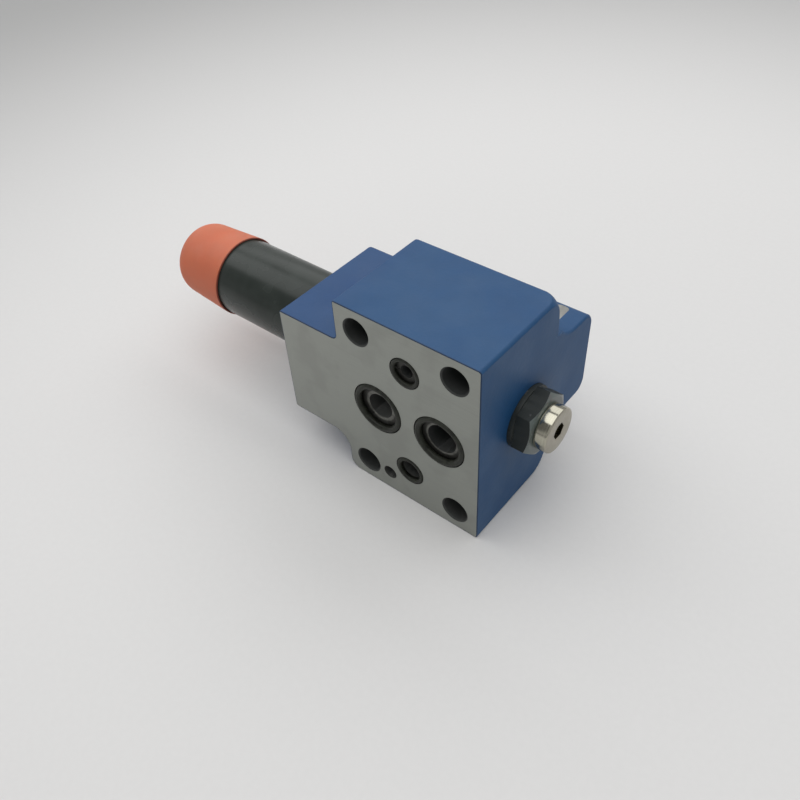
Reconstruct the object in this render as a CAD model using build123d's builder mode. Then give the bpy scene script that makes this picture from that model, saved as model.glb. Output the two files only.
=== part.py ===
from build123d import *
import math
import os

# Direct operated pressure reducing valve, size 10, for mounting on a subplate.
# X runs along the valve axis, from the cap to the gauge plug. Y runs into the body from the
# mounting face at Y = 0. Z is up, as the valve lies on its side. The origin is the centre of
# the four mounting bolts. All sizes are in millimetres.

os.makedirs("parts", exist_ok=True)

# Mounting pattern, size 10
bolt_spacing_x = 42.9
bolt_spacing_z = 66.7
bolt_hole_d = 11.0
bolt_hole_edge = 0.5
port_a_x = -14.25
port_b_x = 14.35
pilot_port_z = 25.4
pin_hole_x = -10.35
pin_hole_z = -33.35
pin_hole_d = 6.2
pin_hole_depth = 6.0

# Ports and their face seals
port_a_d = 11.0
port_b_d = 12.5
port_depth = 19.0
main_seal_inner_d = 17.12
main_seal_cord = 2.62
main_recess_depth = 2.0
port_x_d = 5.2
port_y_d = 8.0
pilot_port_depth = 15.0
pilot_seal_inner_d = 9.25
pilot_seal_cord = 1.78
pilot_recess_depth = 1.4
seal_side_clearance = 0.1

# Cast body
slab_left_x = -31.6
slab_right_x = 31.85
slab_half_height = 42.9
slab_depth = 48.5
slab_back_round = 2.0
neck_left_x = -61.1
neck_half_height = 25.1
neck_back_step = 5.7
neck_back_round = 2.0
neck_end_x = -18.0
boss_left_x = -22.0
boss_half_height = 20.0
boss_back_step = 26.5
boss_back_round = 6.0
boss_root_round = 14.0
cast_corner_round = 1.2
front_corner_round = 0.8
low_corner_round = 4.5
notch_round = 2.5
step_round = 8.0
bolt_seat_d = 27.3
bolt_seat_cut = 0.5

# Valve axis and the spool bore
valve_axis_y = 30.0
spool_d = 16.0
spool_clearance = 0.06
main_ring_depth = 6.0
ring_a_left_x = -19.5
ring_a_right_x = -9.0
ring_b_left_x = 2.0
ring_b_right_x = 13.0
drain_ring_depth = 5.0
drain_ring_left_x = -29.0
drain_ring_right_x = -25.5
drain_channel_d = 6.0
drain_channel_reach = 2.0
spring_chamber_gap = 0.2
spring_chamber_length = 6.0
thread_clearance = 0.1

# Spool
spool_neck_step = 3.5
spool_neck_left_x = -21.0
metering_edge_x = 6.0
spool_overhang = 2.0
spool_stop_gap = 0.3
spool_end_chamfer = 0.8
spool_bore_d = 4.0
feed_hole_x = -14.0
feed_hole_d = 3.0
balance_groove_width = 0.7
balance_groove_depth = 0.4
balance_groove_pitch = 2.6
balance_groove_count = 3
orifice_d = 6.0
orifice_length = 5.5
orifice_recess = 0.5
orifice_hole_d = 1.0

# End plug
plug_thread_d = 22.0
plug_nose_x = 22.0
plug_collar_overhang = 0.2436
plug_collar_thickness = 2.0
plug_hex_across_flats = 24.0
plug_hex_height = 6.5
plug_hex_turn = 18.0
plug_hex_chamfer_inset = 0.2
plug_pilot_hole_d = 5.0
plug_seal_cord = 1.7
plug_seal_recess_depth = 1.8

# Gauge plug
gauge_thread_d = 13.0
gauge_thread_length = 8.5
gauge_port_depth = 11.0
gauge_head_d = 18.4
gauge_head_height = 5.5
gauge_head_chamfer = 0.6
gauge_socket_across_flats = 6.0
gauge_socket_depth = 4.6
gauge_seal_inner_gap = 0.5
gauge_seal_width = 1.4
gauge_seal_thickness = 1.2
gauge_seal_clearance = 0.05

# Spring sleeve
sleeve_d = 35.0
sleeve_body_length = 58.5
sleeve_tail_length = 13.4
sleeve_tail_step = 1.9
sleeve_stub_length = 17.1
sleeve_stub_step = 2.5
sleeve_wall = 5.5
sleeve_end_wall = 12.0
sleeve_edge_chamfer = 0.6
sleeve_seal_cord = 1.5
sleeve_seal_recess_depth = 2.2
sleeve_seal_recess_wall = 1.6

# Adjuster
screw_d = 16.0
screw_tip_d = 10.0
screw_tip_length = 2.0
screw_thread_overrun = 2.0
screw_hex_across_flats = 10.0
screw_hex_length = 5.5
nut_across_flats = 24.0
nut_thickness = 8.0
nut_chamfer_inset = 0.6
plate_retreat = 11.0
plate_thickness = 8.0
plate_clearance = 0.08
plate_seal_cord = 2.0
plate_contact_gap = 0.05

# Main spring and its seats
spring_side_gap = 1.65
spring_wire_d = 3.2
spring_turns = 9
spigot_gap = 0.45
spigot_length = 4.0
spring_seat_gap = 1.2
spring_seat_thickness = 3.6

# Protective cap
cap_overlap = 3.1
cap_rim_wall = 0.8
cap_skirt_length = 22.0
cap_skirt_draft = 1.35
cap_dome_length = 12.1
cap_dome_fullness = 2.5
cap_dome_steps = 8
cap_wall = 0.9
cap_fit_clearance = 0.06
cap_fit_length = 3.4

# Check valve in the rear boss
check_plug_back_gap = 2.5
check_plug_head_overhang = 1.0
check_plug_head_height = 4.0
check_plug_thread_step = 1.0
check_plug_length = 9.0
check_plug_socket_across_flats = 8.0
check_plug_socket_depth = 5.0
check_plug_seal_cord = 1.1
check_plug_seal_recess_depth = 1.2
check_bore_d = 14.0
check_seat_x = -3.0
check_seat_thickness = 5.0
check_seat_hole_d = 7.0
check_seat_clearance = 0.04
poppet_step = 1.0
poppet_clearance = 0.08
poppet_nose_step = 1.2
poppet_cone_length = 2.5
poppet_seat_gap = 0.2
poppet_waist_length = 2.8
poppet_guide_length = 4.7
poppet_waist_wall = 1.1
poppet_web = 0.7
poppet_hole_d = 1.8
check_bore_right_x = 16.0
check_spring_gap = 0.4
check_spring_wire_d = 0.8
check_spring_turns = 8
cross_channel_d = 5.0
cross_channel_a_x = -11.0
cross_channel_b_x = 10.0

# Sizes that follow from those above
neck_depth = slab_depth + neck_back_step
boss_depth = slab_depth + boss_back_step
check_plug_thread_d = check_bore_d + 2 * check_plug_thread_step
check_plug_head_d = check_plug_thread_d + 2 * check_plug_head_overhang
check_axis_y = boss_depth - check_plug_head_d / 2 - check_plug_back_gap
plug_face_x = slab_right_x + plug_collar_thickness + plug_hex_height
plug_collar_d = plug_hex_across_flats * 1.1547 + 2 * plug_collar_overhang
plug_hex_chamfer_d = plug_hex_across_flats - 2 * plug_hex_chamfer_inset
sleeve_shoulder_x = neck_left_x - sleeve_body_length
sleeve_end_x = sleeve_shoulder_x - sleeve_tail_length
sleeve_bore_end_x = sleeve_end_x + sleeve_end_wall
sleeve_stub_end_x = neck_left_x + sleeve_stub_length
sleeve_neck_d = sleeve_d - 2 * sleeve_tail_step
sleeve_stub_d = sleeve_d - 2 * sleeve_stub_step
sleeve_bore_d = sleeve_d - 2 * sleeve_wall
sleeve_seal_recess_d = sleeve_stub_d + 2 * sleeve_seal_recess_wall
spring_chamber_d = sleeve_bore_d + 2 * spring_chamber_gap
spring_chamber_right_x = sleeve_stub_end_x + spring_chamber_length
drain_channel_end_x = spring_chamber_right_x - drain_channel_reach
main_ring_d = spool_d + 2 * main_ring_depth
drain_ring_d = spool_d + 2 * drain_ring_depth
spool_neck_d = spool_d - 2 * spool_neck_step
spool_left_x = spring_chamber_right_x - spool_overhang
spool_right_x = plug_nose_x - spool_stop_gap
spring_seat_left_x = spool_left_x - spring_seat_thickness
spring_seat_d = sleeve_bore_d - 2 * spring_seat_gap
spring_mean_d = sleeve_bore_d - 2 * spring_side_gap - spring_wire_d
spigot_d = spring_mean_d - spring_wire_d - 2 * spigot_gap
plate_left_x = sleeve_bore_end_x + plate_retreat
plate_right_x = plate_left_x + plate_thickness
nut_end_x = sleeve_end_x - nut_thickness
nut_chamfer_d = nut_across_flats - 2 * nut_chamfer_inset
screw_thread_end_x = nut_end_x - screw_thread_overrun
screw_hex_end_x = screw_thread_end_x - screw_hex_length
cap_rim_x = sleeve_shoulder_x + cap_overlap
cap_rim_d = sleeve_d + 2 * cap_rim_wall
cap_shoulder_x = cap_rim_x - cap_skirt_length
cap_shoulder_d = cap_rim_d - 2 * cap_skirt_draft
cap_tip_x = cap_shoulder_x - cap_dome_length
gauge_seal_inner_d = gauge_thread_d + 2 * gauge_seal_inner_gap
gauge_seal_outer_d = gauge_seal_inner_d + 2 * gauge_seal_width
poppet_d = check_bore_d - 2 * poppet_step
poppet_nose_d = check_seat_hole_d - 2 * poppet_nose_step
poppet_waist_d = poppet_nose_d + 2 * poppet_cone_length
poppet_pocket_d = poppet_waist_d - 2 * poppet_waist_wall
poppet_cone_rise = (check_seat_hole_d - poppet_nose_d) / 2 - poppet_seat_gap
poppet_left_x = check_seat_x - poppet_cone_rise
cone_end_x = poppet_left_x + poppet_cone_length
waist_end_x = cone_end_x + poppet_waist_length
poppet_right_x = waist_end_x + poppet_guide_length
poppet_pocket_x = cone_end_x + poppet_web
check_spring_mean_d = poppet_pocket_d - 2 * check_spring_gap - check_spring_wire_d
valve_axis = Axis((0, valve_axis_y, 0), (1, 0, 0))
check_axis = Axis((0, check_axis_y, 0), (1, 0, 0))


def dome(left_x, right_x, radius):
    """Gives the points of a full round dome from its foot circle to its tip."""
    points = []
    for step in range(cap_dome_steps + 1):
        angle = math.pi / 2 * step / cap_dome_steps
        along = math.sin(angle) ** (2 / cap_dome_fullness)
        across = math.cos(angle) ** (2 / cap_dome_fullness)
        points.append((right_x - (right_x - left_x) * along, radius * across))
    points[-1] = (left_x, 0)
    return points


def turned(profile, axis=valve_axis, mode=Mode.ADD):
    """Turns a closed outline of (x, radius) points about an axis along X."""
    with BuildSketch(Plane.XZ.offset(-axis.position.Y)) as section:
        with BuildLine():
            Polyline(*profile, close=True)
        make_face()
    revolve(section.sketch, axis=axis, mode=mode)


def bore(left_x, right_x, diameter, axis=valve_axis):
    """Cuts a round bore between two places on an axis along X."""
    radius = diameter / 2
    turned([(left_x, 0), (left_x, radius), (right_x, radius), (right_x, 0)], axis, Mode.SUBTRACT)


def seal_ring(middle_x, inner_d, cord, axis=valve_axis):
    """Makes a ring of round cord about an axis along X."""
    with BuildSketch(Plane.XZ.offset(-axis.position.Y)) as section:
        with Locations((middle_x, (inner_d + cord) / 2)):
            Circle(cord / 2)
    revolve(section.sketch, axis=axis)


def hexagon(left_x, right_x, across_flats, axis=valve_axis, turn=0.0, mode=Mode.ADD):
    """Makes or cuts a hexagonal prism between two places on an axis along X."""
    with BuildSketch(Plane.YZ.offset(left_x)) as section:
        with Locations((axis.position.Y, 0)):
            RegularPolygon(across_flats / 2, 6, major_radius=False, rotation=turn)
    extrude(section.sketch, amount=right_x - left_x, mode=mode)


def coil_spring(left_x, right_x, mean_d, wire_d, turns, axis=valve_axis):
    """Winds a round wire spring with ground ends between two places on an axis along X."""
    pitch = (right_x - left_x) / turns
    overrun = wire_d / 2
    with BuildLine() as wire:
        Helix(
            pitch,
            right_x - left_x + 2 * overrun,
            mean_d / 2,
            center=(left_x - overrun, axis.position.Y, 0),
            direction=(1, 0, 0),
        )
    with BuildSketch(Plane(origin=wire.line @ 0, z_dir=wire.line % 0)) as section:
        Circle(wire_d / 2)
    sweep(section.sketch, path=wire.line, is_frenet=True)
    split(bisect_by=Plane.YZ.offset(left_x), keep=Keep.TOP)
    split(bisect_by=Plane.YZ.offset(right_x), keep=Keep.BOTTOM)


# Valve body: one iron casting with a flat slab, a neck for the sleeve and a boss at the back
slab_middle_x = (slab_left_x + slab_right_x) / 2
slab_length = slab_right_x - slab_left_x
with BuildPart() as valve_body:
    # Slab that carries the mounting face
    with BuildSketch(Plane.XZ):
        with Locations((slab_middle_x, 0)):
            Rectangle(slab_length, 2 * slab_half_height)
        corners = vertices().sort_by(Axis.X)
        fillet(corners[:2].sort_by(Axis.Y)[:1], low_corner_round)
        fillet(vertices().sort_by(Axis.Y)[-2:].sort_by(Axis.X)[:1], front_corner_round)
    extrude(amount=-slab_depth)
    fillet(faces().sort_by(Axis.Y)[-1].edges().sort_by(Axis.X)[:-1], slab_back_round)

    # Neck that takes the spring sleeve
    with BuildSketch(Plane.XZ):
        with Locations(((neck_left_x + neck_end_x) / 2, 0)):
            Rectangle(neck_end_x - neck_left_x, 2 * neck_half_height)
        fillet(vertices().sort_by(Axis.X)[:2], front_corner_round)
    extrude(amount=-neck_depth)
    fillet(faces().sort_by(Axis.Y)[-1].edges(), neck_back_round)

    # Rounded inner corners above and below the neck
    for side, corner_round in ((1, notch_round), (-1, step_round)):
        with BuildSketch(Plane.XZ):
            foot = side * neck_half_height
            with BuildLine():
                Polyline(
                    (slab_left_x - corner_round, foot),
                    (slab_left_x + 1, foot),
                    (slab_left_x + 1, foot + side * corner_round),
                    (slab_left_x, foot + side * corner_round),
                )
                RadiusArc(
                    (slab_left_x, foot + side * corner_round),
                    (slab_left_x - corner_round, foot),
                    side * corner_round,
                )
            make_face()
        extrude(amount=-(slab_depth - slab_back_round))

    # Boss behind the slab for the check valve, with hollow roots where it grows out of the slab
    root_top = boss_half_height + boss_root_round
    with BuildSketch(Plane.YZ.offset(boss_left_x)):
        with BuildLine():
            Polyline((slab_depth, root_top), (valve_axis_y, root_top))
            Polyline((valve_axis_y, root_top), (valve_axis_y, -root_top), (slab_depth, -root_top))
            for side in (1, -1):
                RadiusArc(
                    (slab_depth + boss_root_round, side * boss_half_height),
                    (slab_depth, side * root_top),
                    side * boss_root_round,
                )
            Polyline(
                (slab_depth + boss_root_round, boss_half_height),
                (boss_depth, boss_half_height),
                (boss_depth, -boss_half_height),
                (slab_depth + boss_root_round, -boss_half_height),
            )
        make_face()
        fillet(vertices().sort_by(Axis.X)[-2:], boss_back_round)
    extrude(amount=slab_right_x - boss_left_x)

    # Softened outline of the right side of the casting
    right_outline = faces().sort_by(Axis.X)[-1].outer_wire().edges()
    fillet(right_outline.filter_by_position(Axis.Y, 0.01, boss_depth + 1), cast_corner_round)

    # Milled seats for the heads of the mounting bolts
    with BuildSketch(Plane.XZ.offset(-(slab_depth - bolt_seat_cut))):
        with GridLocations(bolt_spacing_x, bolt_spacing_z, 2, 2):
            Circle(bolt_seat_d / 2)
    extrude(amount=-(boss_depth - slab_depth), mode=Mode.SUBTRACT)

    # Bolt holes, ports and pin hole in the mounting face
    with Locations(Plane.XZ):
        with GridLocations(bolt_spacing_x, bolt_spacing_z, 2, 2):
            CounterSinkHole(bolt_hole_d / 2, bolt_hole_d / 2 + bolt_hole_edge, slab_depth + 1, 90)
    main_recess_r = main_seal_inner_d / 2 + main_seal_cord + seal_side_clearance
    pilot_recess_r = pilot_seal_inner_d / 2 + pilot_seal_cord + seal_side_clearance
    with Locations(Plane.XZ):
        with Locations((port_a_x, 0)):
            CounterBoreHole(port_a_d / 2, main_recess_r, main_recess_depth, port_depth)
        with Locations((port_b_x, 0)):
            CounterBoreHole(port_b_d / 2, main_recess_r, main_recess_depth, port_depth)
        with Locations((0, pilot_port_z)):
            CounterBoreHole(port_x_d / 2, pilot_recess_r, pilot_recess_depth, pilot_port_depth)
        with Locations((0, -pilot_port_z)):
            CounterBoreHole(port_y_d / 2, pilot_recess_r, pilot_recess_depth, pilot_port_depth)
        with Locations((pin_hole_x, pin_hole_z)):
            Hole(pin_hole_d / 2, pin_hole_depth)

    # Bores along the valve axis
    bore(neck_left_x, neck_left_x + sleeve_seal_recess_depth, sleeve_seal_recess_d)
    bore(neck_left_x, sleeve_stub_end_x + 0.5, sleeve_stub_d + 2 * thread_clearance)
    bore(sleeve_stub_end_x, spring_chamber_right_x, spring_chamber_d)
    bore(spring_chamber_right_x, plug_nose_x, spool_d)
    bore(drain_ring_left_x, drain_ring_right_x, drain_ring_d)
    bore(ring_a_left_x, ring_a_right_x, main_ring_d)
    bore(ring_b_left_x, ring_b_right_x, main_ring_d)
    bore(plug_nose_x - 0.5, slab_right_x, plug_thread_d + 2 * thread_clearance)
    plug_recess_d = plug_thread_d + 2 * plug_seal_cord + 4 * seal_side_clearance
    bore(slab_right_x - plug_seal_recess_depth, slab_right_x, plug_recess_d)

    # Drain channel from the spring chamber to the drain port
    drain_start = Vector(0, pilot_port_depth, -pilot_port_z)
    drain_end = Vector(drain_channel_end_x, valve_axis_y - 2, -spring_chamber_d / 3)
    drain_run = drain_end - drain_start
    with BuildSketch(Plane(origin=drain_start, z_dir=drain_run)):
        Circle(drain_channel_d / 2)
    extrude(amount=drain_run.length, mode=Mode.SUBTRACT)

    # Check valve bore and its two cross channels
    bore(boss_left_x, check_seat_x, check_bore_d, check_axis)
    plug_bore_d = check_plug_thread_d + 2 * thread_clearance
    bore(boss_left_x, boss_left_x + check_plug_length + 0.5, plug_bore_d, check_axis)
    check_recess_d = check_plug_thread_d + 2 * check_plug_seal_cord + 4 * seal_side_clearance
    check_recess_end_x = boss_left_x + check_plug_seal_recess_depth
    bore(boss_left_x, check_recess_end_x, check_recess_d, check_axis)
    bore(check_seat_x, check_bore_right_x, poppet_d, check_axis)
    channel_foot = valve_axis_y + main_ring_d / 2 - 1
    with BuildSketch(Plane.XZ.offset(-channel_foot)):
        with Locations((cross_channel_a_x, 0), (cross_channel_b_x, 0)):
            Circle(cross_channel_d / 2)
    extrude(amount=-(check_axis_y - channel_foot), mode=Mode.SUBTRACT)
valve_body.part.label = "valve_body"
export_step(valve_body.part, "parts/valve_body.step")


# Face seals of the four ports
face_seals = {
    "port_a_seal": (port_a_x, 0, main_seal_inner_d, main_seal_cord, main_recess_depth),
    "port_b_seal": (port_b_x, 0, main_seal_inner_d, main_seal_cord, main_recess_depth),
    "port_x_seal": (0, pilot_port_z, pilot_seal_inner_d, pilot_seal_cord, pilot_recess_depth),
    "port_y_seal": (0, -pilot_port_z, pilot_seal_inner_d, pilot_seal_cord, pilot_recess_depth),
}
for seal_name, (seal_x, seal_z, inner_d, cord, recess_depth) in face_seals.items():
    with BuildPart() as face_seal:
        with BuildSketch(Plane.XY.offset(seal_z)):
            with Locations((seal_x + (inner_d + cord) / 2, recess_depth - cord / 2)):
                Circle(cord / 2)
        revolve(axis=Axis((seal_x, 0, seal_z), (0, 1, 0)))
    face_seal.part.label = seal_name
    export_step(face_seal.part, f"parts/{seal_name}.step")


# Control spool with its metering land, feed hole and balance grooves
land_r = spool_d / 2 - spool_clearance
neck_r = spool_neck_d / 2
with BuildPart() as control_spool:
    turned(
        [
            (spool_left_x, 0),
            (spool_left_x, land_r - spool_end_chamfer),
            (spool_left_x + spool_end_chamfer, land_r),
            (spool_neck_left_x, land_r),
            (spool_neck_left_x, neck_r),
            (metering_edge_x, neck_r),
            (metering_edge_x, land_r),
            (spool_right_x - spool_end_chamfer, land_r),
            (spool_right_x, land_r - spool_end_chamfer),
            (spool_right_x, 0),
        ]
    )
    land_middles = (
        (spool_left_x + spool_neck_left_x) / 2,
        (metering_edge_x + spool_right_x) / 2,
    )
    groove_floor_r = land_r - balance_groove_depth
    for land_middle in land_middles:
        for number in range(balance_groove_count):
            groove_x = land_middle + (number - (balance_groove_count - 1) / 2) * balance_groove_pitch
            groove_left_x = groove_x - balance_groove_width / 2
            groove_right_x = groove_x + balance_groove_width / 2
            turned(
                [
                    (groove_left_x, groove_floor_r),
                    (groove_left_x, land_r + 1),
                    (groove_right_x, land_r + 1),
                    (groove_right_x, groove_floor_r),
                ],
                mode=Mode.SUBTRACT,
            )
    bore(feed_hole_x, spool_right_x, spool_bore_d)
    bore(spool_right_x - orifice_recess - orifice_length, spool_right_x, orifice_d + 2 * thread_clearance)
    with BuildSketch(Plane.XY.offset(-spool_neck_d)):
        with Locations((feed_hole_x, valve_axis_y)):
            Circle(feed_hole_d / 2)
    extrude(amount=2 * spool_neck_d, mode=Mode.SUBTRACT)
control_spool.part.label = "control_spool"
export_step(control_spool.part, "parts/control_spool.step")


# Damping orifice screwed into the spool
with BuildPart() as damping_orifice:
    orifice_right_x = spool_right_x - orifice_recess
    orifice_left_x = orifice_right_x - orifice_length
    turned(
        [
            (orifice_left_x, orifice_hole_d / 2),
            (orifice_left_x, orifice_d / 2),
            (orifice_right_x, orifice_d / 2),
            (orifice_right_x, orifice_hole_d / 2),
        ]
    )
    with BuildSketch(Plane.YZ.offset(orifice_right_x)):
        with Locations((valve_axis_y, 0)):
            Rectangle(orifice_d, 1.0)
    extrude(amount=-1.0, mode=Mode.SUBTRACT)
damping_orifice.part.label = "damping_orifice"
export_step(damping_orifice.part, "parts/damping_orifice.step")


# Spring seat on the end of the spool
with BuildPart() as spring_seat:
    turned(
        [
            (spool_left_x, 0),
            (spool_left_x, spring_seat_d / 2),
            (spring_seat_left_x, spring_seat_d / 2),
            (spring_seat_left_x, spigot_d / 2),
            (spring_seat_left_x - spigot_length + 0.8, spigot_d / 2),
            (spring_seat_left_x - spigot_length, spigot_d / 2 - 0.8),
            (spring_seat_left_x - spigot_length, 0),
        ]
    )
spring_seat.part.label = "spring_seat"
export_step(spring_seat.part, "parts/spring_seat.step")


# Main spring
with BuildPart() as main_spring:
    coil_spring(plate_right_x, spring_seat_left_x, spring_mean_d, spring_wire_d, spring_turns)
main_spring.part.label = "main_spring"
export_step(main_spring.part, "parts/main_spring.step")


# Spring plate that the adjusting screw pushes
plate_r = sleeve_bore_d / 2 - plate_clearance
plate_groove_r = sleeve_bore_d / 2 - plate_seal_cord - 2 * plate_clearance
plate_middle_x = (plate_left_x + plate_right_x) / 2
plate_groove_left_x = plate_middle_x - plate_seal_cord / 2 - 0.2
plate_groove_right_x = plate_middle_x + plate_seal_cord / 2 + 0.2
with BuildPart() as spring_plate:
    turned(
        [
            (plate_left_x, 0),
            (plate_left_x, plate_r - 0.6),
            (plate_left_x + 0.6, plate_r),
            (plate_groove_left_x, plate_r),
            (plate_groove_left_x, plate_groove_r),
            (plate_groove_right_x, plate_groove_r),
            (plate_groove_right_x, plate_r),
            (plate_right_x, plate_r),
            (plate_right_x, spigot_d / 2),
            (plate_right_x + spigot_length - 0.8, spigot_d / 2),
            (plate_right_x + spigot_length, spigot_d / 2 - 0.8),
            (plate_right_x + spigot_length, 0),
        ]
    )
spring_plate.part.label = "spring_plate"
export_step(spring_plate.part, "parts/spring_plate.step")


# Seal ring of the spring plate
with BuildPart() as plate_seal:
    seal_ring(plate_middle_x, 2 * plate_groove_r + plate_clearance, plate_seal_cord)
plate_seal.part.label = "plate_seal"
export_step(plate_seal.part, "parts/plate_seal.step")


# Adjusting screw with its hexagon end
with BuildPart() as adjusting_screw:
    screw_right_x = plate_left_x - plate_contact_gap
    screw_r = screw_d / 2 - thread_clearance
    turned(
        [
            (screw_right_x, 0),
            (screw_right_x, screw_tip_d / 2),
            (screw_right_x - screw_tip_length, screw_tip_d / 2),
            (screw_right_x - screw_tip_length - 1.0, screw_r),
            (screw_thread_end_x + 1.0, screw_r),
            (screw_thread_end_x, screw_r - 1.0),
            (screw_thread_end_x, 0),
        ]
    )
    hexagon(screw_hex_end_x, screw_thread_end_x, screw_hex_across_flats)
adjusting_screw.part.label = "adjusting_screw"
export_step(adjusting_screw.part, "parts/adjusting_screw.step")


# Lock nut of the adjusting screw
with BuildPart() as lock_nut:
    hexagon(nut_end_x, sleeve_end_x, nut_across_flats)
    nut_crown = nut_across_flats - nut_chamfer_d
    turned(
        [
            (nut_end_x, screw_d / 2),
            (nut_end_x, nut_chamfer_d / 2),
            (nut_end_x + nut_crown, nut_across_flats * 0.6),
            (sleeve_end_x - nut_crown, nut_across_flats * 0.6),
            (sleeve_end_x, nut_chamfer_d / 2),
            (sleeve_end_x, screw_d / 2),
        ],
        mode=Mode.INTERSECT,
    )
lock_nut.part.label = "lock_nut"
export_step(lock_nut.part, "parts/lock_nut.step")


# Spring sleeve screwed into the neck of the body
with BuildPart() as spring_sleeve:
    turned(
        [
            (sleeve_stub_end_x, sleeve_bore_d / 2),
            (sleeve_stub_end_x, sleeve_stub_d / 2 - 1.0),
            (sleeve_stub_end_x - 1.0, sleeve_stub_d / 2),
            (neck_left_x, sleeve_stub_d / 2),
            (neck_left_x, sleeve_d / 2 - sleeve_edge_chamfer / 2),
            (neck_left_x - sleeve_edge_chamfer / 2, sleeve_d / 2),
            (sleeve_shoulder_x + sleeve_edge_chamfer, sleeve_d / 2),
            (sleeve_shoulder_x, sleeve_d / 2 - sleeve_edge_chamfer),
            (sleeve_shoulder_x, sleeve_neck_d / 2),
            (sleeve_end_x + 1.0, sleeve_neck_d / 2),
            (sleeve_end_x, sleeve_neck_d / 2 - 1.0),
            (sleeve_end_x, screw_d / 2),
            (sleeve_bore_end_x, screw_d / 2),
            (sleeve_bore_end_x, sleeve_bore_d / 2),
        ]
    )
spring_sleeve.part.label = "spring_sleeve"
export_step(spring_sleeve.part, "parts/spring_sleeve.step")


# Seal ring between sleeve and body
with BuildPart() as sleeve_seal:
    sleeve_seal_middle_x = neck_left_x + sleeve_seal_recess_depth / 2
    seal_ring(sleeve_seal_middle_x, sleeve_stub_d + seal_side_clearance / 2, sleeve_seal_cord)
sleeve_seal.part.label = "sleeve_seal"
export_step(sleeve_seal.part, "parts/sleeve_seal.step")


# Soft protective cap pushed over the end of the sleeve
with BuildPart() as protective_cap:
    with BuildSketch(Plane.XZ.offset(-valve_axis_y)):
        with BuildLine():
            outer_slope = Line((cap_rim_x, cap_rim_d / 2), (cap_shoulder_x, cap_shoulder_d / 2))
            outer_dome = dome(cap_tip_x, cap_shoulder_x, cap_shoulder_d / 2)
            Spline(*outer_dome, tangents=(outer_slope % 1, (0, -1)))
            Line((cap_tip_x, 0), (cap_tip_x + cap_wall, 0))
            inner_shoulder = (cap_shoulder_x, cap_shoulder_d / 2 - cap_wall)
            inner_step = (cap_rim_x - cap_fit_length, cap_rim_d / 2 - cap_wall - 0.3)
            inner_dome = dome(cap_tip_x + cap_wall, *inner_shoulder)
            inner_slope = Line(inner_step, inner_shoulder)
            Spline(*inner_dome, tangents=(inner_slope % 1, (0, -1)))
            fit_r = sleeve_d / 2 + cap_fit_clearance
            Line(inner_step, (cap_rim_x - cap_fit_length, fit_r))
            Line((cap_rim_x - cap_fit_length, fit_r), (cap_rim_x, fit_r))
            Line((cap_rim_x, fit_r), (cap_rim_x, cap_rim_d / 2))
        make_face()
    revolve(axis=valve_axis)
protective_cap.part.label = "protective_cap"
export_step(protective_cap.part, "parts/protective_cap.step")


# End plug with hexagon, collar and gauge port
with BuildPart() as end_plug:
    hex_left_x = slab_right_x + plug_collar_thickness
    hexagon(hex_left_x, plug_face_x, plug_hex_across_flats, turn=plug_hex_turn)
    plug_crown = (plug_hex_across_flats * 1.16 - plug_hex_chamfer_d) / 2 * 0.577
    turned(
        [
            (hex_left_x, 0),
            (hex_left_x, plug_hex_across_flats * 0.58),
            (plug_face_x - plug_crown, plug_hex_across_flats * 0.58),
            (plug_face_x, plug_hex_chamfer_d / 2),
            (plug_face_x, 0),
        ],
        mode=Mode.INTERSECT,
    )
    turned(
        [
            (plug_nose_x, 0),
            (plug_nose_x, plug_thread_d / 2 - 1.0),
            (plug_nose_x + 1.0, plug_thread_d / 2),
            (slab_right_x, plug_thread_d / 2),
            (slab_right_x, plug_collar_d / 2),
            (hex_left_x - 0.4, plug_collar_d / 2),
            (hex_left_x, plug_collar_d / 2 - 0.4),
            (hex_left_x, 0),
        ]
    )
    gauge_port_floor_x = plug_face_x - gauge_port_depth
    bore(gauge_port_floor_x, plug_face_x, gauge_thread_d + 2 * thread_clearance)
    bore(plug_nose_x, gauge_port_floor_x, plug_pilot_hole_d)
end_plug.part.label = "end_plug"
export_step(end_plug.part, "parts/end_plug.step")


# Seal ring under the collar of the end plug
with BuildPart() as end_plug_seal:
    plug_seal_middle_x = slab_right_x - plug_seal_recess_depth / 2
    seal_ring(plug_seal_middle_x, plug_thread_d + seal_side_clearance, plug_seal_cord)
end_plug_seal.part.label = "end_plug_seal"
export_step(end_plug_seal.part, "parts/end_plug_seal.step")


# Gauge plug with a socket head
with BuildPart() as gauge_plug:
    head_end_x = plug_face_x + gauge_head_height
    seal_floor_x = plug_face_x + gauge_seal_thickness + gauge_seal_clearance
    turned(
        [
            (plug_face_x - gauge_thread_length, 0),
            (plug_face_x - gauge_thread_length, gauge_thread_d / 2 - 1.0),
            (plug_face_x - gauge_thread_length + 1.0, gauge_thread_d / 2),
            (seal_floor_x, gauge_thread_d / 2),
            (seal_floor_x, gauge_seal_outer_d / 2 + gauge_seal_clearance),
            (plug_face_x, gauge_seal_outer_d / 2 + gauge_seal_clearance),
            (plug_face_x, gauge_head_d / 2),
            (head_end_x - gauge_head_chamfer, gauge_head_d / 2),
            (head_end_x, gauge_head_d / 2 - gauge_head_chamfer),
            (head_end_x, 0),
        ]
    )
    socket_floor_x = head_end_x - gauge_socket_depth
    hexagon(socket_floor_x, head_end_x, gauge_socket_across_flats, turn=30, mode=Mode.SUBTRACT)
gauge_plug.part.label = "gauge_plug"
export_step(gauge_plug.part, "parts/gauge_plug.step")


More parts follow.
